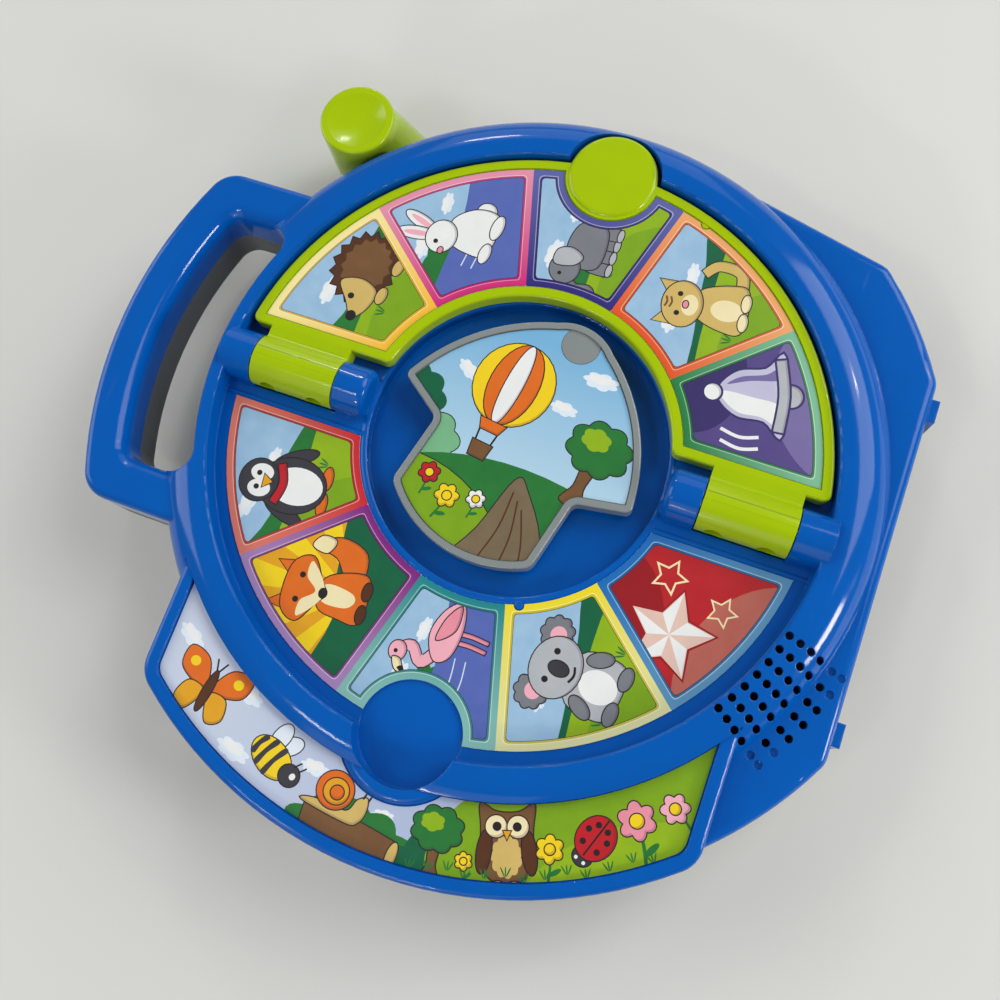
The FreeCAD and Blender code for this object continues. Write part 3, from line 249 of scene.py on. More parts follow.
@dataclass(frozen=True)
class PrintedInk:
    """Offset ink under a satin film: even colour with a soft airbrushed change of tone.

    Attributes:
        name: The ink's name.
        colour: Its first tone.
        second: Its second tone.
        fade: How it goes from one to the other.
        low_mm: Where a fade starts.
        high_mm: Where a fade ends.
        mottle_mm: Size of the mottle.
        grain_mm: Size of the film's grain.
        grain_depth_mm: Depth of that grain.
        grain_strength: How much of that depth shows.
        film_roughness: Roughness of the film.
        ior: Refractive index of the film.
    """

    name: str
    colour: str
    second: str
    fade: Fade = Fade.MOTTLED
    low_mm: float = 58.0
    high_mm: float = 110.0
    mottle_mm: float = 7.0
    grain_mm: float = 0.9
    grain_depth_mm: float = 0.02
    grain_strength: float = 0.12
    film_roughness: float = 0.34
    ior: float = 1.5

    def material(self) -> bpy.types.Material:
        """Build the node material."""
        bench = Bench("ink_" + self.name)
        tint = bench.blend(self.colour, self.second, self._share(bench))
        normal = bench.bump(bench.noise(self.grain_mm, 1.0), self.grain_strength, self.grain_depth_mm)
        return bench.finished({"IOR": self.ior, "Roughness": self.film_roughness},
                              {"Base Color": tint, "Normal": normal})

    def _share(self, bench: Bench) -> Socket:
        """Return how far the ink has gone to its second tone, from 0 to 1."""
        if self.fade is Fade.MOTTLED:
            return bench.noise(self.mottle_mm, 2.0)
        parts = add_node(bench.tree, "SeparateXYZ", links={"Vector": bench.place})
        if self.fade is Fade.OUTWARDS:
            flat = add_node(bench.tree, "CombineXYZ", links={0: parts.outputs[0], 1: parts.outputs[1]})
            far = add_node(bench.tree, "VectorMath", {"operation": "LENGTH"}, {0: flat.outputs[0]})
            value = far.outputs["Value"]
        else:
            value = parts.outputs[1 if self.fade is Fade.UPWARDS else 0]
        return bench.remap(value, {"From Min": self.low_mm * MM, "From Max": self.high_mm * MM})


@dataclass(frozen=True)
class PlatedSteel:
    """Zinc or nickel plated steel: drawn or stamped, with a fine grain that streaks the highlight."""

    name: str
    colour: str
    roughness: float = 0.32
    smoother: float = 0.08
    rougher: float = 0.12
    grain_mm: float = 0.4

    def material(self) -> bpy.types.Material:
        """Build the node material."""
        bench = Bench(self.name)
        gloss = bench.remap(bench.noise(self.grain_mm, 4.0), {
            "To Min": self.roughness - self.smoother, "To Max": self.roughness + self.rougher})
        return bench.finished({"Metallic": 1.0, "Base Color": linear(self.colour)}, {"Roughness": gloss})


@dataclass(frozen=True)
class FinePowder:
    """A dull solid with a fine grain: ferrite, circuit laminate, pressed film, resin or a cell's jacket."""

    name: str
    colour: str
    speckle: str
    grain_mm: float = 0.6
    roughness: float = 0.6

    def material(self) -> bpy.types.Material:
        """Build the node material."""
        bench = Bench(self.name)
        tint = bench.blend(self.colour, self.speckle, bench.noise(self.grain_mm, 3.0))
        return bench.finished({"Roughness": self.roughness}, {"Base Color": tint})


# The housing is glossy blue ABS: deep and even, with small sharp lamp highlights on every roll.
BLUE_ABS = MouldedPlastic("blue_abs", "0059B2", "0054AA", roughness=0.1, specular=0.28, edge_mm=0.75)
# The page and the knob are lime ABS, as glossy as the housing, so their rims carry thin bright lines.
LIME_ABS = MouldedPlastic("lime_abs", "A6C200", "9EBA00", roughness=0.16, specular=0.35)
# The shade in the mould seam of the lime ABS is painted: the same plastic, darker and duller.
LIME_SHADOW = MouldedPlastic("lime_shadow", "6E8400", "667A00", roughness=0.4)
# The back half is spark-eroded grey ABS, which scatters a lamp into a broad dull sheen.
GREY_ABS = MouldedPlastic("grey_abs", "646766", "5C5F5E", roughness=0.45)
# The arrow is mid-grey ABS with a polished rim, which reads like dull metal round the picture.
ARROW_GREY = MouldedPlastic("arrow_grey_abs", "868D8C", "7E8584", roughness=0.24, specular=0.6)
# Gears, shaft and lever arm are natural acetal: waxy off-white with a soft highlight.
ACETAL = MouldedPlastic("natural_acetal", "E6E3D8", "DCD8CB", roughness=0.4)
# The cut edge of a picture sheet shows the white vinyl under the ink.
SHEET_EDGE = MouldedPlastic("sheet_vinyl", "D2D4D0", "CACCC8", roughness=0.4)
# Screws, pins and the speaker's basket are bright zinc plate with a fine grain.
ZINC_STEEL = PlatedSteel("zinc_steel", "A8ACAE")
# Contacts, spring and wiper are nickel-plated strip: warmer and smoother than the zinc.
NICKEL_STRIP = PlatedSteel("nickel_strip", "C2BEB6", roughness=0.26)
# The magnet is sintered ferrite, nearly black and dull.
FERRITE = FinePowder("ferrite", "1E1E20", "2A2A2C")
# The boards are glass laminate under green solder resist, slightly glossy.
LAMINATE = FinePowder("board_laminate", "1F5A2C", "276B36", roughness=0.4)
# The cone is thin black pressed film.
CONE_FILM = FinePowder("cone_film", "141414", "222222", roughness=0.5)
# The chip's blob is black epoxy with a soft shine.
CHIP_RESIN = FinePowder("chip_resin", "0C0C0D", "1A1A1B", roughness=0.35)
# The cells wear a dark shrink-wrapped film.
CELL_JACKET = FinePowder("cell_jacket", "2B2D33", "33363D", roughness=0.3)
# The table is a pale warm-grey laminate with a matt face.
TABLE_TOP = FinePowder("table_laminate", "D0D0CB", "D4D4CF", 60.0, 0.6)


# Offset inks: the tone of each, and the tone that it goes to.
INKS = {name: PrintedInk(name, *tones) for name, tones in {
    "line": ("1F1A1C", "2A2324"), "white": ("EDEDE8", "DFE2E2"), "cream": ("EFE3B8", "E6D6A0"),
    "cloud": ("E2EAF0", "D2DEEA"), "sky": ("86AFD0", "A4C4DC"), "pale_sky": ("BFD3E2", "D3DFE8"),
    "strip_sky": ("9AAACE", "C2CBDC", Fade.UPWARDS, -60.0, 70.0),
    "arrow_sky": ("74AED4", "B4D2E2", Fade.SIDEWAYS, 40.0, -20.0),
    "grass": ("7FA60E", "95B51C"), "lawn": ("6E9A12", "82A81A"), "leaf": ("2A7A34", "1E6A30"),
    "deep_leaf": ("0F6440", "0B573A"), "mint": ("7DB88C", "6AA87C"), "pond": ("4A5FA8", "5B6BB4"),
    "brown": ("7A5634", "6B4A2C"), "dark_brown": ("5A341C", "4C2A15"), "bark": ("7C6C52", "6C5C45"),
    "tan": ("D2B66C", "C6A85C"), "yellow": ("F0D21E", "E8C414"), "gold": ("E2A51E", "D89818"),
    "orange": ("E0701E", "D26218"), "red": ("C2202A", "B01822"), "rose": ("E894A4", "DE8496"),
    "pink": ("F0B0BC", "E6A2B0"), "grey": ("7C8086", "70747A"), "light_grey": ("B4B8BC", "A6AAAF"),
    "charcoal": ("3C3C42", "323238"), "blue": ("2F62B4", "2858A6"), "violet_field": ("4C3E7A", "564886"),
    "dark_violet": ("332860", "3A2E68"), "pale_violet": ("6E6296", "786CA0"),
    "lavender": ("B4B2CC", "C2C0D6"), "red_field": ("AE1820", "B8242A"), "dark_red": ("8E1018", "98161E"),
    "pale_red": ("B4584C", "BC6C5E"), "shell": ("D8B4A4", "E2C6B8"),
}.items()}
# The side of a shape that is turned from the light is the same ink with a darker screen over it.
SCREEN, SCREEN_SHARE = "3A2440", 0.2
SHADED = {name: name + "_shade" for name in (
    "white", "cream", "grey", "light_grey", "charcoal", "brown", "dark_brown", "tan", "orange", "gold",
    "yellow", "pink", "rose", "red", "leaf", "lawn", "grass", "blue")}
# Each picture's border is one colour that pales outwards, with a light hairline and a deeper inner band.
BORDERS = {"salmon": ("C4202A", "DC7C68"), "lilac": ("7A1878", "A886B8"), "teal": ("0C8084", "86BCB2"),
           "lemon": ("E8D40C", "DCDCA4"), "blue": ("1066B0", "5C96BC"), "yellow": ("EFB41C", "F2E49C"),
           "pink": ("C80C70", "E090A8"), "navy": ("261A72", "5C62A4"), "orange": ("DC4818", "E8A468"),
           "green": ("0C7434", "7CB894")}
# What each part of a border adds: a tone, its share, and how much less the pale end pales.
BORDER_PARTS = {"rim": ("FFFFFF", 0.0, 0.0), "hairline": ("FFF8EC", 0.5, 0.0), "band": ("000000", 0.14, 0.5)}
INK_MATERIALS: dict[str, bpy.types.Material] = {}


def add_derived_inks() -> None:
    """Add the shaded inks and the borders' inks to the table."""
    for plain, name in SHADED.items():
        INKS[name] = PrintedInk(name, mixed(INKS[plain].colour, SCREEN, SCREEN_SHARE),
                                mixed(INKS[plain].second, SCREEN, SCREEN_SHARE))
    for border, (deep, pale) in BORDERS.items():
        for part, (tone, share, less) in BORDER_PARTS.items():
            name = f"{part}_{border}"
            INKS[name] = PrintedInk(name, mixed(deep, tone, share),
                                    mixed(mixed(pale, deep, less), tone, share), Fade.OUTWARDS)


def ink_material(name: str) -> bpy.types.Material:
    """Return the one material of an ink."""
    if name not in INK_MATERIALS:
        INK_MATERIALS[name] = INKS[name].material()
    return INK_MATERIALS[name]


# ---------------------------------------------------------------- outlines
# Points for each span of a soft curve, and for each round bump.
CURVE_POINTS, BUMP_POINTS = 5, 7
# A moved corner reaches out at most its edges' move over this.
MITRE = 0.6
# The most of an edge that a rounding takes up, and the number of its spans.
ROUNDING_SHARE, ROUNDING_SPANS = 0.45, 4
# Degrees for each span of an arc.
ARC_STEP = 2.5
# Half width of what is drawn behind a picture, and the square of that half width.
REACH = 40
BACKDROP = [(-REACH, -REACH), (REACH, -REACH), (REACH, REACH), (-REACH, REACH)]


def oval(x: float, y: float, rx: float, ry: float, turn: float = 0.0, steps: int = 28) -> Outline:
    """Return an ellipse round (x, y) with the half sizes rx and ry, turned by degrees."""
    cosine, sine = math.cos(math.radians(turn)), math.sin(math.radians(turn))
    points = []
    for step in range(steps):
        angle = 2 * math.pi * step / steps
        u, v = rx * math.cos(angle), ry * math.sin(angle)
        points.append((x + u * cosine - v * sine, y + u * sine + v * cosine))
    return points


def bumps(x: float, y: float, rx: float, ry: float, count: int, depth: float, sharp: bool = False) -> Outline:
    """Return an ellipse whose edge swells into round or pointed bumps, as a cloud, fleece or leaf has.

    Args:
        x: Centre.
        y: Centre.
        rx: Half width at the bumps' tops.
        ry: Half height at the bumps' tops.
        count: Number of bumps.
        depth: Share of the radius lost between two bumps.
        sharp: True for pointed bumps.

    Returns:
        The outline.
    """
    points = []
    steps = count * (2 if sharp else BUMP_POINTS)
    for step in range(steps):
        angle = 2 * math.pi * step / steps
        wave = step % 2 if sharp else abs(math.sin(count * angle / 2))
        share = 1 - depth * (1 - wave)
        points.append((x + rx * share * math.cos(angle), y + ry * share * math.sin(angle)))
    return points


def smooth(points: Outline, closed: bool = True) -> Outline:
    """Return a soft curve through a few points.

    Args:
        points: The points that the curve passes.
        closed: True to join the last point to the first.

    Returns:
        The curve's points.
    """
    count = len(points)
    spans = count if closed else count - 1
    curve = []
    for index in range(spans):
        ring = [points[(index + shift) % count] if closed else points[min(max(index + shift, 0), count - 1)]
                for shift in (-1, 0, 1, 2)]
        for step in range(CURVE_POINTS):
            t = step / CURVE_POINTS
            curve.append(tuple(
                0.5 * (2 * b + (c - a) * t + (2 * a - 5 * b + 4 * c - d) * t * t
                       + (3 * b - a - 3 * c + d) * t ** 3)
                for a, b, c, d in zip(*ring)))
    if not closed:
        curve.append(points[-1])
    return curve


def signed_area(outline: Outline) -> float:
    """Return the area in a loop, below zero where it runs clockwise."""
    return sum(a[0] * b[1] - b[0] * a[1] for a, b in zip(outline, outline[1:] + outline[:1])) / 2


def grown(outline: Outline, amount: float) -> Outline:
    """Return an outline moved outwards along its corners' normals.

    Args:
        outline: A loop of points.
        amount: How far out it moves.

    Returns:
        The moved loop.
    """
    sign = 1 if signed_area(outline) > 0 else -1
    moved = []
    count = len(outline)
    for index, (x, y) in enumerate(outline):
        before, after = outline[index - 1], outline[(index + 1) % count]
        first = Vector((x - before[0], y - before[1])).normalized()
        second = Vector((after[0] - x, after[1] - y)).normalized()
        along = first + second
        if along.length < TINY:
            along = first
        along.normalize()
        stretch = 1 / max(MITRE, along.dot(second))
        moved.append((x + sign * along.y * amount * stretch, y - sign * along.x * amount * stretch))
    return moved


def rounded(outline: Outline, corners: Iterable[int], radius: float) -> Outline:
    """Return a loop with some of its corners rounded.

    Args:
        outline: A loop of points.
        corners: Indexes of the corners.
        radius: How far from the corner the rounding starts.

    Returns:
        The new loop.
    """
    marked = set(corners)
    points = []
    count = len(outline)
    for index, corner in enumerate(outline):
        if index not in marked:
            points.append(corner)
            continue
        here = Vector(corner)
        ends = []
        for other in (outline[index - 1], outline[(index + 1) % count]):
            reach = Vector(other) - here
            ends.append(here + reach * min(ROUNDING_SHARE, radius / max(reach.length, TINY)))
        for step in range(ROUNDING_SPANS + 1):
            t = step / ROUNDING_SPANS
            spot = ends[0] * (1 - t) ** 2 + here * 2 * t * (1 - t) + ends[1] * t * t
            points.append((spot.x, spot.y))
    return points


# ---------------------------------------------------------------- printed sheets
@dataclass
class Sheet:
    """A picture sheet: flat printed shapes, each over the last, cut into one flat mesh.

    Attributes:
        node: The CAD node of the sheet that carries the print.
        upwards: True if the print faces +Z, False if it faces -Z.
        lift: How far the ink stands above the sheet.
    """

    node: str
    upwards: bool = True
    lift: float = 0.03
    shapes: list[tuple[Outline, str | None, int | None]] = field(default_factory=list)

    def __post_init__(self) -> None:
        """Read the sheet's outline from its node and lay it down as the first shape."""
        low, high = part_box(self.node)
        self.level = (high.z if self.upwards else low.z) / MM
        self.rim = self._read_rim()
        self.add(self.rim, "white", None)

    def _read_rim(self) -> Outline:
        """Return the longest loop round the printed face."""
        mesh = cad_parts[self.node].data
        flat = [polygon for polygon in mesh.polygons
                if all(abs(mesh.vertices[v].co.z / MM - self.level) < FLAT_MM for v in polygon.vertices)]
        edges: dict[tuple[Point, Point], None] = {}
        for polygon in flat:
            corners = [tuple(round(part / MM, PLAN_DIGITS) for part in mesh.vertices[v].co.xy)
                       for v in polygon.vertices]
            edges.update(dict.fromkeys(zip(corners, corners[1:] + corners[:1])))
        onwards = {start: end for start, end in edges if (end, start) not in edges}
        loops = []
        while onwards:
            start, spot = onwards.popitem()
            loop = [start]
            while spot != start and spot in onwards:
                loop.append(spot)
                spot = onwards.pop(spot)
            loops.append(loop)
        return max(loops, key=len)

    def add(self, outline: Outline, ink: str | None, clip: int | None = 0) -> int:
        """Lay a shape over what is there.

        Args:
            outline: The shape.
            ink: The ink's name, or None to leave that place bare.
            clip: Index of the shape that limits it, 0 for the whole sheet.

        Returns:
            The new shape's index.
        """
        self.shapes.append((outline, ink, clip))
        return len(self.shapes) - 1

    def _uncut(self, index: int, inside: list[int]) -> bool:
        """Tell whether a spot, given by the shapes that hold it, is inside all that limits this shape."""
        clip: int | None = index
        while clip is not None:
            if clip not in inside:
                return False
            clip = self.shapes[clip][2]
        return 0 in inside

    def build(self, name: str, body: str) -> bpy.types.Object:
        """Cut the shapes into one flat mesh: the piece of that name, which rides on that body."""
        points: list[Vector] = []
        loops: list[list[int]] = []
        for outline, _ink, _clip in self.shapes:
            turn = 1 if signed_area(outline) > 0 else -1
            loops.append(list(range(len(points), len(points) + len(outline))))
            points += [Vector(point) for point in outline[::turn]]
        spots, _edges, faces, _a, _b, sources = delaunay_2d_cdt(points, [], loops, 1, WELD_MM)
        facing = 1 if self.upwards else -1
        level = self.level + facing * self.lift
        kept: list[list[int]] = []
        chosen: list[str] = []
        for face, inside in zip(faces, sources):
            over = [index for index in inside if self._uncut(index, inside)]
            ink = self.shapes[max(over)][1] if over else None
            if ink is not None:
                kept.append(face[::facing])
                chosen.append(ink)
        inks = list(dict.fromkeys(chosen))
        used = sorted({corner for face in kept for corner in face})
        place = {corner: index for index, corner in enumerate(used)}
        piece = new_object(name, [(spots[corner].x, spots[corner].y, level) for corner in used],
                           [[place[corner] for corner in face] for face in kept])
        for ink in inks:
            piece.data.materials.append(ink_material(ink))
        piece.data.polygons.foreach_set("material_index", [inks.index(ink) for ink in chosen])
        piece.data.update()
        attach(piece, body)
        LOG.info("%s: %d shapes, %d faces, %d inks", name, len(self.shapes), len(kept), len(inks))
        return piece


@dataclass
class Pen:
    """Draws motifs on a sheet in their own units, where y is up and a motif fills about -10 to 10.

    Attributes:
        sheet: The sheet that is drawn on.
        clip: Index of the shape that limits the drawing.
        x: Place of the motif's origin.
        y: Place of the motif's origin.
        scale: Millimetres for each unit.
        turn: Turn in degrees.
        line: Width of the dark line round a shape, in millimetres.
        flip: True to mirror the motif.
        shade: Width of the shaded side of a shape, in millimetres.
        shade_from: Area from which a shape has a shaded side, in square millimetres.
        light: Direction that the light comes from, in the motif's units.
    """

    sheet: Sheet
    clip: int
    x: float
    y: float
    scale: float = 1.0
    turn: float = 0.0
    line: float = 0.42
    flip: bool = False
    shade: float = 0.8
    shade_from: float = 9.0
    light: Point = (-0.55, 0.83)

    def put(self, outline: Outline, ink: str | None, edge: str | None = "line") -> None:
        """Draw a filled shape.

        Args:
            outline: The shape in the motif's units.
            ink: The fill.
            edge: The line round it, or None.
        """
        cosine, sine = math.cos(math.radians(self.turn)), math.sin(math.radians(self.turn))
        size = self.scale
        side = -size if self.flip else size
        placed = [(self.x + u * side * cosine - v * size * sine, self.y + u * side * sine + v * size * cosine)
                  for u, v in outline]
        if edge:
            self.sheet.add(grown(placed, self.line), edge, self.clip)
        if not edge or ink not in SHADED or abs(signed_area(placed)) < self.shade_from:
            self.sheet.add(placed, ink, self.clip)
            return
        whole = self.sheet.add(placed, SHADED[ink], self.clip)
        right, up = self.light
        shift = [self.shade * part for part in (cosine * right - sine * up, sine * right + cosine * up)]
        self.sheet.add([(x + shift[0], y + shift[1]) for x, y in placed], ink, whole)

    def oval(self, x: float, y: float, rx: float, ry: float, ink: str, turn: float = 0.0,
             edge: str | None = "line") -> None:
        """Draw an ellipse."""
        self.put(oval(x, y, rx, ry, turn), ink, edge)

    def patch(self, x: float, y: float, rx: float, ry: float, ink: str, turn: float = 0.0) -> None:
        """Draw an ellipse without a line round it."""
        self.put(oval(x, y, rx, ry, turn), ink, None)

    def land(self, ink: str, right: float, left: float, *crest: Point) -> None:
        """Draw land or water below a soft crest, given by its ends' heights and the points between."""
        self.soft([(-REACH, -REACH), (REACH, -REACH), (REACH, right), *crest, (-REACH, left)], ink, None)

    def soft(self, points: Outline, ink: str, edge: str | None = "line") -> None:
        """Draw a soft closed shape through a few points."""
        self.put(smooth(points), ink, edge)

    def band(self, points: Outline, start: float, end: float, ink: str, edge: str | None = "line") -> None:
        """Draw a curved band that runs through a few points.

        Args:
            points: The band's middle line.
            start: Half width at its start.
            end: Half width at its end.
            ink: The fill.
            edge: The line round it, or None.
        """
        middle = smooth(points, False)
        left, right = [], []
        for index, (x, y) in enumerate(middle):
            before, after = middle[max(index - 1, 0)], middle[min(index + 1, len(middle) - 1)]
            along = Vector((after[0] - before[0], after[1] - before[1])).normalized()
            half = start + (end - start) * index / (len(middle) - 1)
            left.append((x - along.y * half, y + along.x * half))
            right.append((x + along.y * half, y - along.x * half))
        self.put(left + right[::-1], ink, edge)

    def stroke(self, points: Outline, half: float, ink: str = "line") -> None:
        """Draw a plain line of an even half width through a few points."""
        self.band(points, half, half, ink, None)

    def dot(self, x: float, y: float, radius: float, ink: str = "line") -> None:
        """Draw a small plain disc."""
        self.put(oval(x, y, radius, radius, 0.0, 12), ink, None)


# ---------------------------------------------------------------- motifs
def hedgehog(pen: Pen) -> None:
    """A brown hedgehog in profile with a fan of spines."""
    pen.put(bumps(1, 1, 9.5, 8, 17, 0.16, True), "dark_brown")
    pen.put(bumps(1.5, 0.8, 7.4, 6, 15, 0.14, True), "brown", None)
    pen.soft([(-4.2, 4.4), (-8, 1), (-11.2, -2.2), (-8, -4.6), (-3.2, -4.6), (-1.8, 0)], "tan")
    pen.oval(-11, -2, 1.1, 1, "line")
    pen.dot(-6.6, 0.4, 0.8)
    pen.oval(-3.6, -6.2, 2.2, 1.2, "tan")
    pen.oval(4.4, -6.4, 2.2, 1.2, "tan")


def rabbit(pen: Pen) -> None:
    """A white rabbit sitting up."""
    pen.oval(6.4, -4.6, 2.4, 2.4, "white")
    pen.soft([(-3.4, 1), (2, 2.2), (6.4, -2.6), (5.8, -8.4), (-3.8, -8.8), (-5, -3.6)], "white")
    for lean in (-14, 12):
        pen.oval(-3 - lean * 0.12, 9.2, 1.6, 4.8, "white", lean)
        pen.patch(-3 - lean * 0.12, 9, 0.7, 3.4, "pink", lean)
    pen.oval(-3.2, 3.2, 4.2, 3.7, "white")
    pen.oval(-6.6, 2, 0.8, 0.6, "rose")
    pen.dot(-4.8, 4, 0.6)
    pen.oval(-3.6, -8.4, 2.6, 1.3, "white")
    pen.oval(3.6, -8.6, 3.2, 1.4, "white")


def elephant(pen: Pen) -> None:
    """A grey elephant in profile."""
    for x in (-3.6, 0.4, 4.4, 7.6):
        pen.soft([(x - 1.6, -2), (x + 1.6, -2), (x + 1.7, -8.6), (x - 1.7, -8.6)], "grey")
        pen.oval(x, -8.6, 1.9, 0.8, "light_grey")
    pen.soft([(-5, 2.2), (0, 5), (7.4, 3.8), (9.6, -1), (7, -5.2), (-3.6, -5.2)], "grey")
    pen.band([(-9, 3), (-11.6, -0.6), (-10.8, -4.6), (-12.6, -6.4)], 1.9, 0.9, "grey")
    pen.oval(-6.4, 3.6, 4.6, 4.3, "grey")
    pen.soft([(-5.6, 7), (-1.4, 7.2), (0.2, 3.4), (-1.8, -0.4), (-4.8, 1.6)], "light_grey")
    pen.dot(-8.2, 4.6, 0.6)


def cat(pen: Pen) -> None:
    """A tan cat sitting with its tail round."""
    pen.band([(3.4, -7.2), (8.4, -6.4), (9.4, -1.6), (7, 1.2)], 1.3, 1, "tan")
    pen.soft([(-2.6, 1.4), (3, 1.4), (5.4, -5.2), (4.4, -8.8), (-4.4, -8.8), (-5.2, -4.6)], "tan")
    pen.patch(-0.4, -4.8, 2.4, 3.4, "cream")
    for side in (-1, 1):
        pen.put([(-0.6 + side * 1, 7.2), (-0.6 + side * 4.8, 10.2), (-0.6 + side * 4.9, 4.4)], "tan")
        pen.oval(-0.2 + side * 2.2, -8.6, 2, 1, "cream")
    pen.oval(-0.6, 4.6, 5.2, 4.3, "tan")
    pen.patch(-0.6, 3, 2.4, 1.8, "cream")
    pen.dot(-2.8, 5.4, 0.6)
    pen.dot(1.6, 5.4, 0.6)
    pen.oval(-0.6, 3.9, 0.8, 0.55, "rose")
    for lift in (7.2, 8.2):
        pen.stroke([(-1.8, lift), (-0.6, lift - 0.4), (0.6, lift)], 0.22, "brown")


def penguin(pen: Pen) -> None:
    """A black and white penguin."""
    for side in (-1, 1):
        pen.oval(side * 2.8, -9, 2.5, 1.1, "orange")
        pen.oval(side * 6, -1.4, 1.5, 4.8, "charcoal", side * 24)
    pen.oval(0, -1.8, 6, 7.4, "charcoal")
    pen.patch(0, -2.8, 4.1, 5.7, "white")
    pen.oval(0, 5.6, 4.6, 4.2, "charcoal")
    for side in (-1, 1):
        pen.patch(side * 1.7, 5.2, 1.9, 2.5, "white")
        pen.dot(side * 1.5, 5.8, 0.6)
    pen.put([(-1.4, 4.6), (1.4, 4.6), (0, 2.6)], "gold")
    pen.band([(-4.2, 1.4), (0, 0.2), (4.2, 1.4)], 0.8, 0.8, "red")


def fox(pen: Pen) -> None:
    """An orange fox sitting with its tail up."""
    pen.soft([(3.4, -7), (9.4, -6.4), (11.4, -0.4), (8.6, 4.6), (7.2, -0.4), (3.8, -3.4)], "orange")
    pen.soft([(10.4, 0.6), (10.9, 3.6), (8.4, 5.2), (7.6, 1.8)], "cream")
    pen.soft([(-3.4, 0.6), (2.4, 0.6), (5, -5.2), (4, -8.8), (-4.4, -8.8), (-4.8, -4.2)], "orange")
    pen.soft([(-2.2, 0), (1.4, 0), (1, -5.4), (-0.6, -6.8), (-2.4, -5)], "cream", None)
    for side in (-1, 1):
        pen.put([(-0.6 + side * 1.2, 7), (-0.6 + side * 4.4, 11.2), (-0.6 + side * 5.6, 5)], "orange")
        pen.oval(-0.4 + side * 2.4, -8.7, 1.9, 1, "dark_brown")
    pen.soft([(-7.4, 4.2), (-4.8, 8.2), (3.6, 8.2), (6.2, 4.2), (1.6, 1), (-0.6, -0.6), (-2.8, 1)], "orange")
    pen.soft([(-6.4, 4), (-3.2, 4.4), (-0.6, 1.8), (2, 4.4), (5.2, 4), (-0.6, -0.2)], "cream", None)
    pen.dot(-3.2, 5.4, 0.65)
    pen.dot(2, 5.4, 0.65)
    pen.oval(-0.6, 0.2, 0.9, 0.7, "line")


def flamingo(pen: Pen) -> None:
    """A pink flamingo standing in water."""
    for x in (0.4, 2.6):
        pen.band([(x, -2), (x + 0.3, -6), (x, -10)], 0.45, 0.4, "rose")
    pen.band([(-3.4, 1), (-6.4, 3.6), (-3.4, 6.6), (-5.2, 9.4)], 1.3, 1.1, "pink")
    pen.soft([(-5, 0.8), (0.4, 3.6), (6.6, 2), (9.4, -1.6), (4, -3.4), (-3, -2.6)], "pink")
    pen.soft([(-0.4, 1.8), (4.8, 1.2), (8.6, -1.4), (3, -1.8)], "rose")
    pen.oval(-5.6, 9.4, 2.3, 2, "pink")
    pen.soft([(-7.4, 10), (-9.8, 8.6), (-9.9, 6.6), (-8.4, 7.4), (-7.2, 8.4)], "cream")
    pen.soft([(-9.4, 8.2), (-10.1, 6.4), (-8.6, 7.2)], "line", None)
    pen.dot(-5.8, 9.8, 0.5)


def koala(pen: Pen) -> None:
    """A grey koala sitting, with fluffy ears."""
    pen.soft([(-4.4, 0.6), (4.4, 0.6), (6, -5), (4.2, -8.8), (-4.2, -8.8), (-6, -5)], "light_grey")
    pen.patch(0, -4.6, 3.2, 3.8, "white")
    for side in (-1, 1):
        pen.put(bumps(side * 6, 6.6, 3.5, 3.3, 9, 0.16), "grey")
        pen.patch(side * 5.8, 6.3, 1.7, 1.6, "pink")
        pen.oval(side * 3.6, -8.8, 2.3, 1.3, "grey")
        pen.oval(side * 4.9, -3, 1.4, 2.6, "grey", side * 28)
    pen.oval(0, 4.2, 6, 5, "light_grey")
    pen.oval(0, 3.6, 1.4, 2, "charcoal")
    pen.dot(-2.9, 5.2, 0.65)
    pen.dot(2.9, 5.2, 0.65)
    pen.stroke([(-1.6, 0.9), (0, 0.4), (1.6, 0.9)], 0.25)


def frog(pen: Pen) -> None:
    """A green frog on its haunches."""
    for side in (-1, 1):
        pen.oval(side * 6, -4.6, 3.4, 4, "leaf", side * 20)
        pen.oval(side * 7.2, -8.4, 3.2, 1.1, "grass")
    pen.soft([(-5, 2), (5, 2), (6, -5), (3, -8.6), (-3, -8.6), (-6, -5)], "grass")
    pen.patch(0, -4, 3.6, 4, "cream")
    for side in (-1, 1):
        pen.oval(side * 3.9, 8.2, 2.3, 2.3, "grass")
        pen.oval(side * 3.9, 8.4, 1.5, 1.5, "white")
        pen.dot(side * 3.9, 8.2, 0.75)
    pen.soft([(-6.8, 4), (-3.6, 7.6), (3.6, 7.6), (6.8, 4), (3.6, 0.8), (-3.6, 0.8)], "grass")
    pen.stroke([(-4.6, 3.8), (0, 2), (4.6, 3.8)], 0.28)


def fish(pen: Pen) -> None:
    """An orange fish with a blue fin."""
    pen.soft([(5.4, 0.6), (10.6, 5.4), (9.4, 0), (10.6, -5), (5.4, -0.6)], "gold")
    pen.soft([(-2, 3.8), (1, 8), (4.6, 5.6), (4.2, 2.6)], "blue")
    pen.soft([(-10, 0), (-5, 4.6), (1, 5.2), (7, 1.4), (7, -1.4), (1, -5.2), (-5, -4.6)], "orange")
    for x in (-2, 2):
        pen.stroke([(x, 4.6), (x + 1.2, 0), (x, -4.6)], 0.8, "cream")
    pen.oval(-6.2, 1.2, 1.5, 1.5, "white")
    pen.dot(-6.4, 1.2, 0.75)
    pen.stroke([(-9, -1.6), (-7.4, -2.4), (-6.2, -1.8)], 0.25)


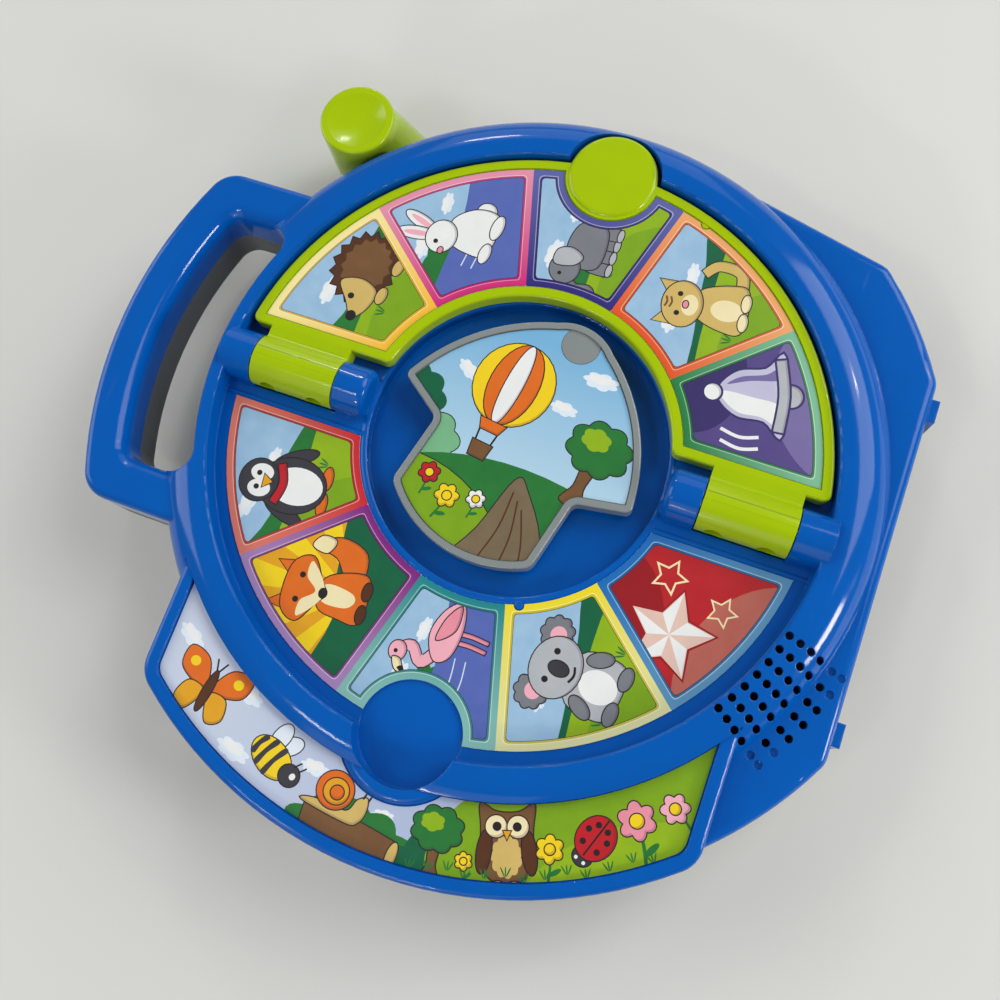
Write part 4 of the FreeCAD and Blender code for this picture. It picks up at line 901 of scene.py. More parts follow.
def turtle(pen: Pen) -> None:
    """A green turtle with a patterned shell."""
    for x in (-5.2, 4.8):
        pen.oval(x, -5.4, 2.2, 3, "lawn")
    pen.put([(7.8, -3.2), (11.2, -4.2), (8, -4.8)], "lawn")
    pen.oval(-9.4, 0.6, 3, 2.7, "lawn")
    pen.soft([(-8, -3.4), (-5.8, 3), (0, 6.6), (5.8, 3), (8, -3.4)], "brown")
    for x, y in ((-3.6, 0.2), (0, 3), (3.6, 0.2), (0, -2)):
        pen.put(oval(x, y, 1.7, 1.5, 0, 6), "tan", None)
    pen.dot(-10.2, 1.3, 0.55)


def owl(pen: Pen) -> None:
    """A brown owl looking forward."""
    pen.soft([(-6.2, 4), (-6.4, 9.4), (-2.6, 7.6), (2.6, 7.6), (6.4, 9.4), (6.2, 4), (5.6, -5.6), (0, -9),
              (-5.6, -5.6)], "brown")
    pen.put(bumps(0, -2.6, 3.8, 5, 11, 0.12), "tan", None)
    for side in (-1, 1):
        pen.oval(side * 5.4, -1.6, 1.7, 5, "dark_brown", side * 8)
        pen.oval(side * 2.6, 4.2, 2.5, 2.5, "cream")
        pen.dot(side * 2.4, 4.2, 1.1)
        pen.oval(side * 2, -9, 1.5, 0.9, "gold")
    pen.put([(-0.9, 3.2), (0.9, 3.2), (0, 1.2)], "gold")


def bee(pen: Pen) -> None:
    """A striped bee in flight."""
    for lean in (28, -8):
        pen.oval(1.6 - lean * 0.1, 6, 2.5, 4.3, "cloud", lean)
    pen.oval(0, 0, 7.2, 4.8, "yellow")
    for x, half in ((-1.4, 4.6), (2.2, 4.4), (5.2, 3)):
        pen.soft([(x - 0.8, half), (x + 0.8, half), (x + 1.1, 0), (x + 0.8, -half), (x - 0.8, -half),
                  (x - 0.3, 0)], "charcoal", None)
    pen.oval(-7.4, 0.8, 3.2, 3.1, "charcoal")
    pen.patch(-8.3, 1.3, 0.9, 1, "white")
    for x in (-8.6, -6.6):
        pen.stroke([(x, 3.4), (x - 0.8, 6)], 0.25)


def ladybird(pen: Pen) -> None:
    """A red ladybird seen from above."""
    pen.oval(-6.4, 0, 3, 3.2, "charcoal")
    pen.oval(0.6, 0, 7.2, 6.2, "red")
    pen.stroke([(-6, 0), (7.6, 0)], 0.3)
    for x, y in ((-2.6, 2.8), (1.6, 3.6), (4.4, 1.8)):
        for side in (-1, 1):
            pen.dot(x, side * y, 1.05)
    for side in (-1, 1):
        pen.dot(-7.8, side * 1.5, 0.6, "white")


def snail(pen: Pen) -> None:
    """A tan snail with a coiled shell."""
    pen.soft([(-9.8, -1), (-8.6, 2.6), (-6, 1), (-4, -3.4), (6, -4.2), (9.6, -6.2), (-5.6, -6.4), (-9, -4.6)],
             "tan")
    pen.oval(1.4, 0.6, 5.8, 5.6, "orange")
    pen.oval(1, 0.4, 3.9, 3.8, "gold")
    pen.oval(0.6, 0.2, 2, 2, "orange")
    for x in (-9.2, -7.4):
        pen.stroke([(x, 2), (x - 0.6, 5.2)], 0.3)
        pen.dot(x - 0.6, 5.4, 0.7)


def mouse(pen: Pen) -> None:
    """A small grey mouse with round ears."""
    pen.band([(5, -5.4), (9.2, -6), (10.8, -2.6)], 0.5, 0.3, "pink")
    pen.soft([(-4.2, 0.8), (1.8, 2), (6.2, -2.4), (6, -6.8), (-4.6, -6.8)], "light_grey")
    for x in (-6.4, -0.6):
        pen.oval(x, 5.6, 2.7, 2.7, "light_grey")
        pen.patch(x, 5.5, 1.6, 1.6, "pink")
    pen.soft([(-6.8, 4), (-1, 4.2), (0.6, 0.4), (-4, -2.2), (-9.4, -0.6)], "light_grey")
    pen.oval(-9.3, -0.4, 0.8, 0.7, "rose")
    pen.dot(-5.6, 1.6, 0.6)
    pen.oval(-3, -6.8, 1.9, 0.9, "pink")
    pen.oval(3.4, -6.8, 1.9, 0.9, "pink")


def whale(pen: Pen) -> None:
    """A blue whale with a spout."""
    pen.band([(-3.6, 5), (-3.4, 8.4), (-5.6, 9.6)], 0.5, 0.4, "cloud")
    pen.band([(-3.2, 5), (-3.2, 8.4), (-0.8, 9.6)], 0.5, 0.4, "cloud")
    pen.soft([(6.4, -0.8), (7.4, 4.4), (10.8, 6.4), (10, 1), (8.2, -2.6)], "blue")
    pen.soft([(-9.6, -0.8), (-6.8, 4.4), (0, 5), (5.6, 1), (9.2, -1.2), (5.4, -5.2), (-5.6, -5.6)], "blue")
    pen.soft([(-9, -2.4), (-2, -2.6), (3.6, -4.6), (-5.4, -5.2)], "cloud", None)
    pen.dot(-6, 0.8, 0.7, "white")
    pen.dot(-6.1, 0.8, 0.4)


def bell(pen: Pen) -> None:
    """A plain white hand bell that rings."""
    pen.oval(0, -7.2, 2.3, 2.3, "light_grey", 0, "dark_violet")
    pen.soft([(-1.6, 7), (1.6, 7), (4.8, 3.4), (5.6, -2), (8.4, -5.8), (-8.4, -5.8), (-5.6, -2), (-4.8, 3.4)],
             "lavender", "dark_violet")
    pen.soft([(-1.2, 6.4), (0.4, 6.2), (-0.6, 0.6), (-2.2, -5.2), (-6.8, -5.2), (-4.8, -1.6), (-4, 3.2)],
             "white", None)
    pen.soft([(1.8, 5.6), (3.6, 2.8), (4.4, -2.2), (6.4, -5.2), (3.4, -5.2), (2.8, 1)], "pale_violet", None)
    pen.band([(-7.6, -5), (0, -5.9), (7.6, -5)], 1, 1, "light_grey", "dark_violet")
    pen.oval(0, 8.4, 1.7, 1.7, "white", 0, "dark_violet")
    for reach in (9.2, 11.6):
        pen.stroke([(1.6 - reach, 6.4), (-reach, 2.6), (0.2 - reach, -1.2)], 0.35, "white")


def star_points(x: float, y: float, radius: float, turn: float = 90) -> Outline:
    """Return a five-pointed star round a place, with its first point at an angle in degrees."""
    points = []
    for step in range(10):
        reach = radius * (0.5 if step % 2 else 1)
        angle = math.radians(turn + 36 * step)
        points.append((x + reach * math.cos(angle), y + reach * math.sin(angle)))
    return points


def stars(pen: Pen) -> None:
    """One large plain star and two outlined small ones."""
    pen.put(star_points(-1.6, 0, 8.8), "shell", "dark_red")
    for tip in range(5):
        angle = math.radians(90 + 72 * tip)
        side = math.radians(90 + 72 * tip + 36)
        pen.put([(-1.6, 0), (-1.6 + 8.4 * math.cos(angle), 8.4 * math.sin(angle)),
                 (-1.6 + 4.2 * math.cos(side), 4.2 * math.sin(side))], "white", None)
    for x, y, reach, ink in ((7.4, 6.8, 3.9, "red_field"), (8.2, -5.2, 3.3, "pale_red")):
        pen.put(star_points(x, y, reach, 78), "cream", None)
        pen.put(star_points(x, y, reach * 0.78, 78), ink, None)


def cloud(pen: Pen) -> None:
    """A small cloud."""
    pen.put(bumps(0, 0, 7, 3.4, 7, 0.22), "cloud", None)
    pen.put(bumps(-0.6, 0.8, 4.6, 1.9, 6, 0.2), "white", None)


def flower(pen: Pen, ink: str) -> None:
    """A round flower on a stem."""
    pen.band([(0, -9), (0.4, -4), (0, 0)], 0.5, 0.4, "leaf", None)
    pen.patch(2.2, -5.6, 2.4, 0.9, "leaf", 30)
    pen.put(bumps(0, 2, 5, 5, 6, 0.3), ink)
    pen.oval(0, 2, 1.8, 1.8, "yellow")


def tree(pen: Pen) -> None:
    """A tree with a scalloped crown."""
    pen.soft([(-1.4, 0), (1.4, 0), (1.2, -5.4), (2.6, -9.4), (-2.4, -9.4), (-1.2, -5.4)], "brown")
    pen.put(bumps(0, 4, 7.4, 6.2, 8, 0.16), "leaf")
    pen.put(bumps(-1.6, 5.6, 3.4, 2.6, 6, 0.16), "grass", None)


def butterfly(pen: Pen, lower: str = "blue") -> None:
    """An orange butterfly with open wings, the lower ones in another ink."""
    for side in (-1, 1):
        pen.soft([(side * 0.8, 1), (side * 3.4, 6.6), (side * 8.8, 7.4), (side * 8.6, 2.4),
                  (side * 3.6, 0.2)], "orange")
        pen.soft([(side * 0.8, -0.6), (side * 5.2, 0), (side * 6.6, -4.6), (side * 3.2, -6.4)], lower)
        pen.patch(side * 6.2, 4.6, 1.3, 1.2, "yellow")
        pen.stroke([(side * 0.3, 5), (side * 1.4, 7.6)], 0.22)
    pen.oval(0, -0.2, 1.1, 5.2, "dark_brown")


def balloon(pen: Pen) -> None:
    """A striped hot-air balloon with its basket."""
    pen.put(oval(0, 3, 7.6, 8.2), "yellow")
    for half in (4.6, 1.7):
        pen.put(oval(0, 3, half, 8.2), "orange" if half > 2 else "white", "line")
    pen.put([(-2.6, -5), (2.6, -5), (1.8, -7), (-1.8, -7)], "orange")
    for side in (-1, 1):
        pen.stroke([(side * 1.8, -7), (side * 1.5, -9.6)], 0.18)
    pen.put([(-2, -9.4), (2, -9.4), (1.6, -12.4), (-1.6, -12.4)], "brown")


def grass_tuft(pen: Pen, x: float, y: float, height: float, fan: int) -> None:
    """Three blades of grass that fan out."""
    for lean in (-fan, 0, fan):
        pen.put(oval(x + lean * 0.05, y, 0.35, height, -lean, 10), "leaf", None)


# ---------------------------------------------------------------- the dial's and page's pictures
class Scenery(Enum):
    """The background of a picture."""

    MEADOW = "meadow"
    HILLS = "hills"
    WATER = "water"
    DUSK = "dusk"
    VIOLET = "violet"
    CRIMSON = "crimson"


@dataclass(frozen=True)
class Panel:
    """One picture of a half dial: its border, background and motif, and how the motif is placed."""

    border: str
    scenery: Scenery
    motif: Callable[[Pen], None]
    turn: float
    scale: float
    shift: Point = (0.0, 0.0)


LEFT_PANELS = (
    Panel("salmon", Scenery.MEADOW, penguin, 8.0, 1.78, (1.0, 0.5)),
    Panel("lilac", Scenery.DUSK, fox, 4.0, 1.78, (-1.5, -1.5)),
    Panel("teal", Scenery.WATER, flamingo, 0.0, 1.55, (7.5, 0.0)),
    Panel("lemon", Scenery.HILLS, koala, -6.0, 1.84, (0.0, 1.0)),
    Panel("blue", Scenery.CRIMSON, stars, -20.0, 1.82, (-2.0, 2.0)),
)
PAGE_PANELS = (
    Panel("yellow", Scenery.MEADOW, hedgehog, -8.0, 1.62, (1.0, 0.0)),
    Panel("pink", Scenery.WATER, rabbit, -4.0, 1.6),
    Panel("navy", Scenery.MEADOW, elephant, 0.0, 1.32, (-6.0, 0.5)),
    Panel("orange", Scenery.HILLS, cat, 6.0, 1.74, (-1.5, 0.5)),
    Panel("green", Scenery.VIOLET, bell, 14.0, 1.78, (0.0, 1.0)),
)
UNDER_PANELS = (
    Panel("blue", Scenery.WATER, whale, 0.0, 1.5),
    Panel("lemon", Scenery.MEADOW, ladybird, 60.0, 1.4),
    Panel("green", Scenery.HILLS, mouse, 0.0, 1.2, (-6.0, 0.0)),
    Panel("lilac", Scenery.MEADOW, owl, 0.0, 1.6),
    Panel("orange", Scenery.DUSK, snail, 0.0, 1.5),
)
BACK_PANELS = (
    Panel("teal", Scenery.WATER, frog, 0.0, 1.5),
    Panel("salmon", Scenery.MEADOW, bee, 0.0, 1.5),
    Panel("blue", Scenery.WATER, fish, 0.0, 1.2, (-6.0, 0.0)),
    Panel("pink", Scenery.HILLS, turtle, 0.0, 1.4),
    Panel("yellow", Scenery.DUSK, butterfly, 0.0, 1.6),
)
# Backgrounds without a landscape: the field and two large soft shapes in it.
PLAIN_FIELDS = {Scenery.VIOLET: ("violet_field", "dark_violet", "pale_violet"),
                Scenery.CRIMSON: ("red_field", "dark_red", "pale_red")}


@dataclass
class HalfDialPrint:
    """The five bordered pictures on half a dial, on the housing or on the page.

    Attributes:
        node: The CAD node of the sheet.
        panels: The pictures, from the handle's end.
        side: 1 on the +X side, -1 on the -X side.
        upwards: True if the print faces +Z.
        splits: Angles of the lines between the pictures, from the X axis.
        rim: Width of a coloured border.
        hairline: Half width of the pale line in a border.
        hairline_inset: Distance of that line from the border's outside.
        outline: Width of the dark line round a picture.
        rim_corner: Rounding of a border's corners.
        band_corner: Rounding of the corners of the lines in a border.
        corner: Rounding of a picture's corners.
        tab_x: Distance of the page tab's middle from the dial's.
        bold_line: Width of the line round a motif on a plain field.
    """

    node: str
    panels: tuple[Panel, ...]
    side: int
    upwards: bool = True
    splits: tuple[float, ...] = (49.0, 16.0, -16.0, -49.0)
    rim: float = 3.5
    hairline: float = 0.16
    hairline_inset: float = 2.45
    outline: float = 0.18
    rim_corner: float = 0.4
    band_corner: float = 2.0
    corner: float = 1.6
    tab_x: float = 110.8
    bold_line: float = 0.8

    def build(self, name: str, body: str) -> bpy.types.Object:
        """Draw the five pictures and build the piece of that name on that body."""
        self.sheet = Sheet(self.node, self.upwards)
        rim = self.sheet.rim
        reaches = [math.hypot(x, y) for x, y in rim]
        self.inner, self.outer = min(reaches), max(reaches)
        self.edge_x = min(abs(x) for x, _y in rim)
        self.tab_r = min(math.hypot(x - self.side * self.tab_x, y) for x, y in rim)
        for index, panel in enumerate(self.panels):
            self._panel(index, panel)
        self.sheet.add(self._tab(0.0), None)
        return self.sheet.build(name, body)

    def _tab(self, more: float) -> Outline:
        """Return the tab's dish, grown by an amount."""
        reach = self.tab_r + more
        return oval(self.side * self.tab_x, 0.0, reach, reach, 0.0, 64)

    def _outline(self, index: int, inset: float, corner: float) -> Outline:
        """Return a picture's outline drawn in by an amount.

        Args:
            index: The picture's number from the handle's end.
            inset: How far in from the picture's edge.
            corner: Rounding of its corners.

        Returns:
            The outline.
        """
        high = 90.0 if index == 0 else self.splits[index - 1]
        low = -90.0 if index == len(self.splits) else self.splits[index]

        def limit(radius: float, angle: float, sign: int) -> float:
            if abs(angle) == 90.0:
                return sign * math.degrees(math.acos((self.edge_x + inset) / radius))
            return angle - sign * math.degrees(math.asin(inset / radius))

        points: Outline = []
        corners = []
        for radius, ends in ((self.outer - inset, (1, -1)), (self.inner + inset, (-1, 1))):
            angles = {1: limit(radius, high, 1), -1: limit(radius, low, -1)}
            first, last = angles[ends[0]], angles[ends[1]]
            steps = max(4, int(abs(first - last) / ARC_STEP))
            corners.append(len(points))
            for step in range(steps + 1):
                angle = math.radians(first + (last - first) * step / steps)
                points.append((self.side * radius * math.cos(angle), radius * math.sin(angle)))
            corners.append(len(points) - 1)
        return rounded(points, corners, corner)

    def _panel(self, index: int, panel: Panel) -> None:
        """Draw one picture, counted from the handle's end, with its border."""
        inset, half = self.hairline_inset, self.hairline
        layers = ((0.0, self.rim_corner, "rim_" + panel.border),
                  (inset - half, self.band_corner, "hairline_" + panel.border),
                  (inset + half, self.band_corner, "band_" + panel.border),
                  (self.rim - self.outline, self.corner, "line"), (self.rim, self.corner, "sky"))
        rings = [self.sheet.add(self._outline(index, depth, corner), ink) for depth, corner, ink in layers]
        self._scene(rings[-1], index, panel)
        if index == len(self.panels) // 2:
            for (_, _, ink), (depth, _, _), ring in reversed(list(zip(layers, layers[1:], rings))):
                self.sheet.add(self._tab(depth), ink, ring)

    def _middle(self, index: int) -> Point:
        """Return the middle of a picture."""
        xs, ys = zip(*self._outline(index, self.rim, 0.1))
        return (min(xs) + max(xs)) / 2, (min(ys) + max(ys)) / 2

    def _scene(self, inside: int, index: int, panel: Panel) -> None:
        """Draw a picture's background and its motif.

        Args:
            inside: Index of the shape that limits the picture.
            index: The picture's number from the handle's end.
            panel: What it shows.
        """
        x, y = self._middle(index)
        pen = Pen(self.sheet, inside, x, y)
        lean = 6.0 if index % 2 else -6.0
        plain = PLAIN_FIELDS.get(panel.scenery)
        if plain:
            pen.put(BACKDROP, plain[0], None)
            pen.put(oval(self.side * 4, 26, 26, 20, 20, 48), plain[1], None)
            pen.put(oval(self.side * 8, -30, 34, 26, self.side * 24, 48), plain[2], None)
        elif panel.scenery is Scenery.DUSK:
            self._dusk(pen)
        else:
            for dx, dy, size in ((-10, 11, 0.9), (9, 8, 0.7)):
                cloud(Pen(self.sheet, inside, x + dx, y + dy, size, lean))
            if panel.scenery is Scenery.WATER:
                self._water(pen)
            else:
                self._meadow(pen, lean, "deep_leaf" if panel.scenery is Scenery.HILLS else "leaf")
        x, y = x + panel.shift[0], y + panel.shift[1]
        line = self.bold_line if plain else Pen.line
        panel.motif(Pen(self.sheet, inside, x, y, panel.scale, panel.turn, line))

    def _dusk(self, pen: Pen) -> None:
        """Draw rays of low sun over dark land."""
        pen.put(BACKDROP, "gold", None)
        for step in range(5):
            start = math.radians(20 + step * 34)
            end = start + math.radians(17)
            pen.put([(0, -12), (60 * math.cos(start), 60 * math.sin(start)),
                     (60 * math.cos(end), 60 * math.sin(end))], "yellow", None)
        pen.land("deep_leaf", -2, -6, (8, -3), (-10, -8))

    def _water(self, pen: Pen) -> None:
        """Draw a bush behind a pond."""
        pen.put(bumps(-14, 1, 13, 8, 8, 0.16), "leaf", None)
        pen.land("pond", 2, -3, (4, 0))
        for y in (-6.0, -10.0):
            pen.band([(-14, y), (-5, y - 0.8), (3, y)], 0.25, 0.2, "pale_sky", None)

    def _meadow(self, pen: Pen, lean: float, far: str) -> None:
        """Draw a meadow in front of hills in another ink, all of it leaning to one side."""
        pen.land(far, lean, -lean, (10, 4), (-12, 1))
        pen.land("grass", -6, -8, (6, -3 + lean / 3))
        pen.soft([(-REACH, -REACH), (12, -REACH), (2, -11), (-REACH, -14)], "lawn", None)
        for x in (-12, 13):
            grass_tuft(pen, x, -11, 1.9, 24)


@dataclass
class StripPrint:
    """The curved picture sheet on the side ledge, with the dial's middle as its up side."""

    node: str = "side_strip_label"
    body: str = "housing"
    tufts: int = 13
    first_tuft_y: float = -16.0
    tuft_pitch: float = 6.3

    def _pen(self, y: float, reach: float, scale: float = 1.0, turn: float = 0.0, flip: bool = False) -> Pen:
        """Return an upright pen at a place along the strip and at a reach from the dial's middle."""
        x = -math.sqrt(reach * reach - y * y)
        upright = math.degrees(math.atan2(-y, -x)) - 90.0
        return Pen(self.sheet, 0, x, y, scale, upright + turn, flip=flip)

    def build(self) -> bpy.types.Object:
        """Draw the strip's landscape and build the print."""
        self.sheet = Sheet(self.node)
        self.sheet.add(self.sheet.rim, "strip_sky")
        for y, reach, size in ((86, 136, 0.9), (58, 131, 0.9), (56, 148, 1), (26, 135, 0.8), (-2, 139, 0.6)):
            cloud(self._pen(y, reach, size, 8))
        for y, reach, land, ink in ((6, 158, bumps(0, 0, 28, 21, 13, 0.12), "leaf"),
                                    (-30, 160, bumps(0, 0, 26, 22, 11, 0.12), "deep_leaf"),
                                    (-72, 150, oval(4, 0, 58, 34, -8, 48), "lawn"),
                                    (-72, 150, oval(14, -12, 40, 24, 6, 40), "grass"),
                                    (-98, 124, oval(0, 0, 26, 20, 0, 36), "lawn")):
            self._pen(y, reach).put(land, ink, None)
        log = self._pen(8, 148.5)
        log.band([(-17, -1), (0, 0.4), (17, -1)], 4.2, 4.6, "brown")
        log.oval(17.4, -1, 1.7, 4.6, "tan")
        butterfly(self._pen(73, 141.5, 1.5, 22), "gold")
        for motif, *place in ((bee, 42, 141, 1.2, -12, True), (snail, 15, 138.5, 1.15, 0, True),
                              (tree, -22, 143, 1.25), (owl, -45, 140.5, 1.42)):
            motif(self._pen(*place))
        flower(self._pen(-33.5, 148, 0.6, 8), "yellow")
        flower(self._pen(-59.5, 144, 0.95, -8), "yellow")
        ladybird(self._pen(-72, 141, 1.05, 40))
        flower(self._pen(-84.5, 141, 1.3, -6), "rose")
        flower(self._pen(-95.5, 141, 1, 12), "pink")
        for step in range(self.tufts):
            tuft = self._pen(self.first_tuft_y - step * self.tuft_pitch, 151.0 - (step % 3), 0.8)
            grass_tuft(tuft, 0, 0, 2.2, 26)
        return self.sheet.build("strip_print", self.body)


@dataclass
class ArrowPrint:
    """The landscape on the arrow, upright when the arrow points up."""

    node: str = "spinner_label"
    body: str = "spinner"
    arrow_angle: float = -14.0

    def build(self) -> bpy.types.Object:
        """Draw the landscape and build the print."""
        self.sheet = Sheet(self.node)
        self.sheet.add(self.sheet.rim, "arrow_sky")
        for x, y, size, lean in ((14, 36, 1, 14), (-30, 14, 0.8, -20), (8, 20, 0.8, 8)):
            cloud(self._pen(x, y, size, lean))
        pen = Pen(self.sheet, 0, 0.0, 0.0, 1.0, self.arrow_angle - 90.0, 0.4)
        pen.put(bumps(-44, -6, 15, 14, 9, 0.14), "deep_leaf", None)
        pen.put(bumps(-30, -16, 14, 12, 8, 0.15), "mint")
        pen.put(oval(16, -40, 62, 34, 12, 48), "leaf", None)
        pen.put(oval(-14, -52, 40, 30, -10, 40), "lawn")
        pen.soft([(8, -12), (14, -13), (30, -30), (34, -60), (2, -60), (6, -34)], "bark")
        for x, y, end in ((10, -16, 12), (13, -18, 20), (16, -20, 28)):
            pen.stroke([(x, y), ((x + end) / 2 + 1.5, (y - 44) / 2), (end, -44)], 0.3, "dark_brown")
        tree(self._pen(28, 7, 1.7, 4))
        balloon(self._pen(-12, 12, 2, 6))
        for ink, *place in (("red", -20, -28, 0.8, 8), ("yellow", -10, -32, 0.9, -4),
                            ("white", 0, -27, 0.7, 6)):
            flower(self._pen(*place), ink)
        return self.sheet.build("arrow_print", self.body)

    def _pen(self, x: float, y: float, scale: float, lean: float) -> Pen:
        """Return a pen at a place in the upright picture."""
        turn = self.arrow_angle - 90.0
        cosine, sine = math.cos(math.radians(turn)), math.sin(math.radians(turn))
        return Pen(self.sheet, 0, x * cosine - y * sine, x * sine + y * cosine, scale, turn + lean)


# ---------------------------------------------------------------- small lines
@dataclass
class KnuckleSeamShade:
    """Painted shade in the fine mould seam along each of the page's two knuckles, drawn as a thin dark strip.

    Attributes:
        axis_z: Height of the hinge line.
        radius: Distance of the line from the hinge line, just over the knuckle.
        lean: Where the line lies, in degrees from the knuckle's top towards the page.
        width: Width of the line.
        spans: Where each line starts and ends along the hinge.
    """

    axis_z: float = 43.95
    radius: float = 9.52
    lean: float = 19.0
    width: float = 0.26
    spans: tuple[Point, ...] = ((70.9, 103.3), (-103.3, -70.9))

    def build(self) -> bpy.types.Object:
        """Build both painted shade lines as one piece that turns with the page."""
        half = math.degrees(self.width / 2 / self.radius)
        corners, faces = [], []
        for start, end in self.spans:
            first = len(corners)
            for angle in (self.lean - half, self.lean + half):
                x = self.radius * math.sin(math.radians(angle))
                z = self.axis_z + self.radius * math.cos(math.radians(angle))
                corners += [(x, start, z), (x, end, z)]
            faces.append((first, first + 2, first + 3, first + 1))
        piece = new_object("knuckle_seam_shade", corners, faces)
        # The strip's colour is painted shade: the seam's shaded gap, given as darker, duller lime plastic.
        piece.data.materials.append(LIME_SHADOW.material())
        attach(piece, "page")
        LOG.info("knuckle_seam_shade: %d lines", len(faces))
        return piece


# ---------------------------------------------------------------- CAD pieces
@dataclass
class Mouldings:
    """The pieces that come straight from the construction, each given its finish.

    Attributes:
        finishes: The finish of each group of nodes.
        smooth_angle: Edges sharper than this stay crisp, in degrees.
    """

    smooth_angle: float = 32.0
    finishes: dict = field(default_factory=lambda: {
        BLUE_ABS: ("front_housing",),
        GREY_ABS: ("rear_cover", "battery_door"),
        LIME_ABS: ("page_front_shell", "page_back_shell", "lever_knob"),
        ARROW_GREY: ("spinner_frame",),
        SHEET_EDGE: ("left_dial_label", "right_dial_label", "side_strip_label", "page_front_label",
                     "page_back_label", "spinner_label"),
        ACETAL: ("spinner_shaft", "spinner_gear", "idler_gear", "gearbox_plate", "lever_arm"),
        ZINC_STEEL: ("housing_screws", "hinge_pins", "idler_axle", "lever_screw", "battery_door_screw",
                     "board_screws", "speaker_frame"),
        NICKEL_STRIP: ("battery_contacts", "lever_spring", "position_wiper"),
        FERRITE: ("speaker_magnet",),
        LAMINATE: ("circuit_board", "position_board"),
        CONE_FILM: ("speaker_cone",),
        CHIP_RESIN: ("board_parts",),
        CELL_JACKET: ("aa_cells",),
    })

    def dress(self) -> None:
        """Give every node its material and soft shading."""
        for finish, names in self.finishes.items():
            material = finish.material()
            for name in names:
                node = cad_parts[name]
                node.data.materials.clear()
                node.data.materials.append(material)
                node.data.shade_smooth()
                node.data.set_sharp_from_angle(angle=math.radians(self.smooth_angle))
                LOG.info("%s: %s", name, finish.name)


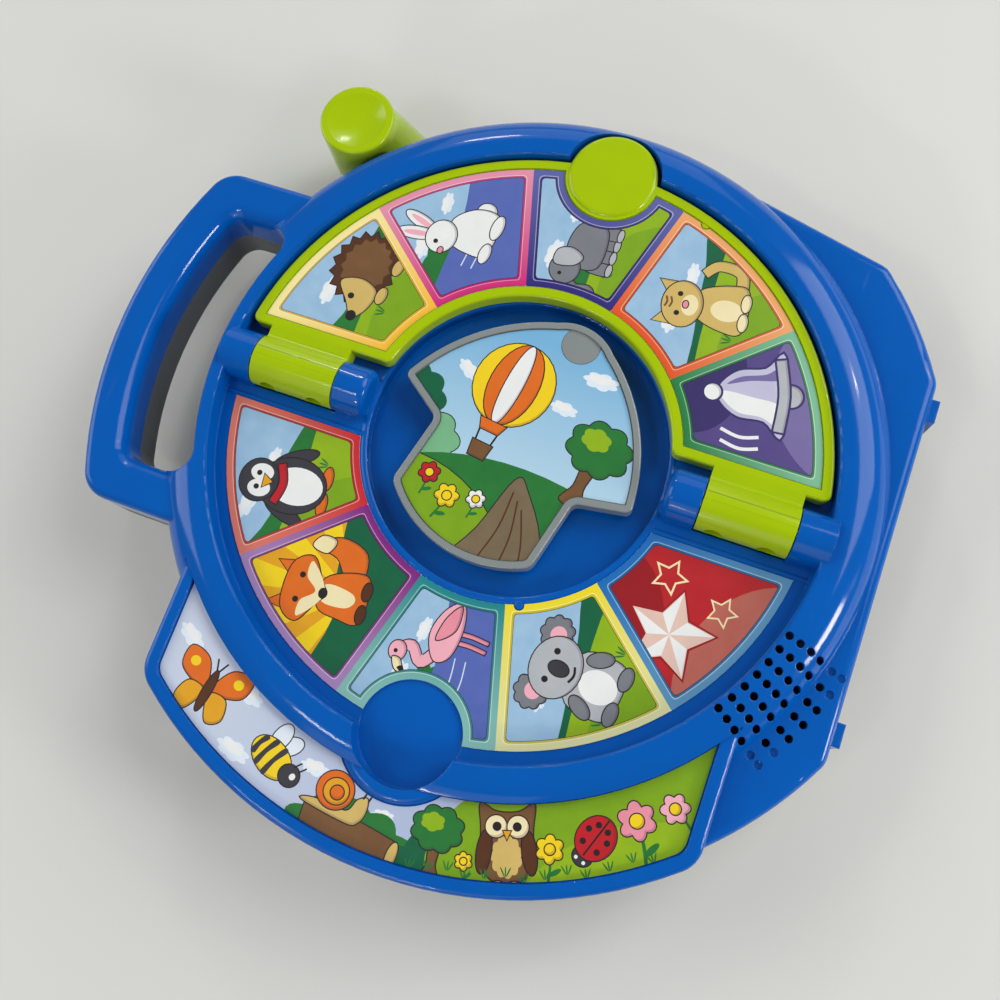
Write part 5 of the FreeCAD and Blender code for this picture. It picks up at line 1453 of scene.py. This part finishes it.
# ---------------------------------------------------------------- studio
@dataclass
class Studio:
    """The pale table, the soft lamps and the camera.

    Attributes:
        camera_at: The camera's place.
        camera_right: The picture's right side as a direction.
        camera_up: The picture's upper side as a direction.
        focal_px: Focal length in pixels of the picture.
        picture_px: Width of the picture in pixels.
        sensor_mm: Width of the sensor.
        clip_start: How near the camera sees, in metres.
        floor_reach: Half width of the table.
        floor_gap: How far the table lies under the toy.
        sky: Colour of the even light from all round.
        sky_strength: Strength of that light.
        lamps: Name, place, two sides and power of each lamp.
    """

    camera_at: tuple[float, float, float] = (-90.46, -62.15, 408.18)
    camera_right: tuple[float, float, float] = (0.3416, -0.9355, -0.0905)
    camera_up: tuple[float, float, float] = (0.922, 0.3149, 0.2252)
    focal_px: float = 1036.27
    picture_px: float = 1000.0
    sensor_mm: float = 36.0
    clip_start: float = 0.01
    floor_reach: float = 4000.0
    floor_gap: float = 0.05
    sky: str = "E6E8EA"
    sky_strength: float = 0.22
    lamps: tuple = field(default_factory=lambda: (
        ("key_lamp", (1500.0, -1450.0, 1750.0), (1850.0, 1850.0), 40.0),
        ("left_lamp", (-1800.0, 200.0, 1000.0), (1500.0, 1500.0), 6.0),
        ("handle_lamp", (100.0, 2000.0, 1150.0), (1500.0, 1500.0), 22.0),
        ("top_lamp", (2000.0, 500.0, 1000.0), (1500.0, 1500.0), 6.0),
        ("far_window", (797.0, 403.0, 593.0), (110.0, 26.0), 0.6),
        ("low_window", (-60.0, -1150.0, 470.0), (260.0, 230.0), 5.6),
        ("grip_window", (-1130.0, 60.0, 640.0), (260.0, 30.0), 1.9),
        ("spark_lamp", (609.0, -538.0, 769.0), (30.0, 30.0), 0.45),
        ("dish_window", (-568.0, 378.0, 980.0), (150.0, 70.0), 0.9),
    ))

    def build(self) -> None:
        """Make the table, the lamps, the sky light and the camera."""
        self._table()
        for name, at, sides, power in self.lamps:
            self._lamp(name, at, sides, power)
        self._world()
        self._camera()

    def _table(self) -> None:
        """Lay the table under the toy."""
        low, _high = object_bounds()
        level = low.z / MM - self.floor_gap
        reach = self.floor_reach
        table = new_object("table", [(x, y, level) for x, y in (
            (-reach, -reach), (reach, -reach), (reach, reach), (-reach, reach))], [(0, 1, 2, 3)])
        table.data.materials.append(TABLE_TOP.material())
        table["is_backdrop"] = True

    def _lamp(self, name: str, at: tuple[float, float, float], sides: Point, power: float) -> None:
        """Hang one soft lamp that looks at the toy, with its first side level."""
        data = bpy.data.lights.new(name, "AREA")
        data.shape = "RECTANGLE"
        data.size, data.size_y = sides[0] * MM, sides[1] * MM
        data.energy = power
        lamp = bpy.data.objects.new(name, data)
        lamp.location = Vector(at) * MM
        lamp.rotation_mode = "QUATERNION"
        lamp.rotation_quaternion = (-lamp.location).to_track_quat("-Z", "Y")
        bpy.context.scene.collection.objects.link(lamp)

    def _world(self) -> None:
        """Fill the shadows with an even pale light."""
        world = bpy.data.worlds.new("room")
        world.use_nodes = True
        world.node_tree.nodes.clear()
        light = add_node(world.node_tree, "Background",
                         {"Color": linear(self.sky), "Strength": self.sky_strength})
        add_node(world.node_tree, "OutputWorld", links={"Surface": light.outputs[0]})
        bpy.context.scene.world = world

    def _camera(self) -> None:
        """Set the camera at the picture's place and angle."""
        right = Vector(self.camera_right).normalized()
        up = Vector(self.camera_up)
        up = (up - right * up.dot(right)).normalized()
        back = right.cross(up)
        turn = Matrix((right, up, back)).transposed().to_4x4()
        data = bpy.data.cameras.new("camera")
        data.sensor_width = self.sensor_mm
        data.lens = self.focal_px * self.sensor_mm / self.picture_px
        data.clip_start = self.clip_start
        camera = bpy.data.objects.new("camera", data)
        camera.matrix_world = Matrix.Translation(Vector(self.camera_at) * MM) @ turn
        bpy.context.scene.collection.objects.link(camera)
        bpy.context.scene.camera = camera
        bpy.context.scene.view_settings.view_transform = "Standard"


def main() -> None:
    """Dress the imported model, print its sheets and set up the studio."""
    logging.basicConfig(level=logging.INFO, format="%(name)s %(message)s")
    add_derived_inks()
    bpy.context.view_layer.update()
    Mouldings().dress()
    HalfDialPrint("left_dial_label", LEFT_PANELS, -1).build("left_dial_print", "housing")
    HalfDialPrint("right_dial_label", UNDER_PANELS, 1).build("right_dial_print", "housing")
    HalfDialPrint("page_front_label", PAGE_PANELS, 1).build("page_front_print", "page")
    HalfDialPrint("page_back_label", BACK_PANELS, 1, False).build("page_back_print", "page")
    StripPrint().build()
    ArrowPrint().build()
    KnuckleSeamShade().build()
    Studio().build()


if __name__ == "__main__":
    main()
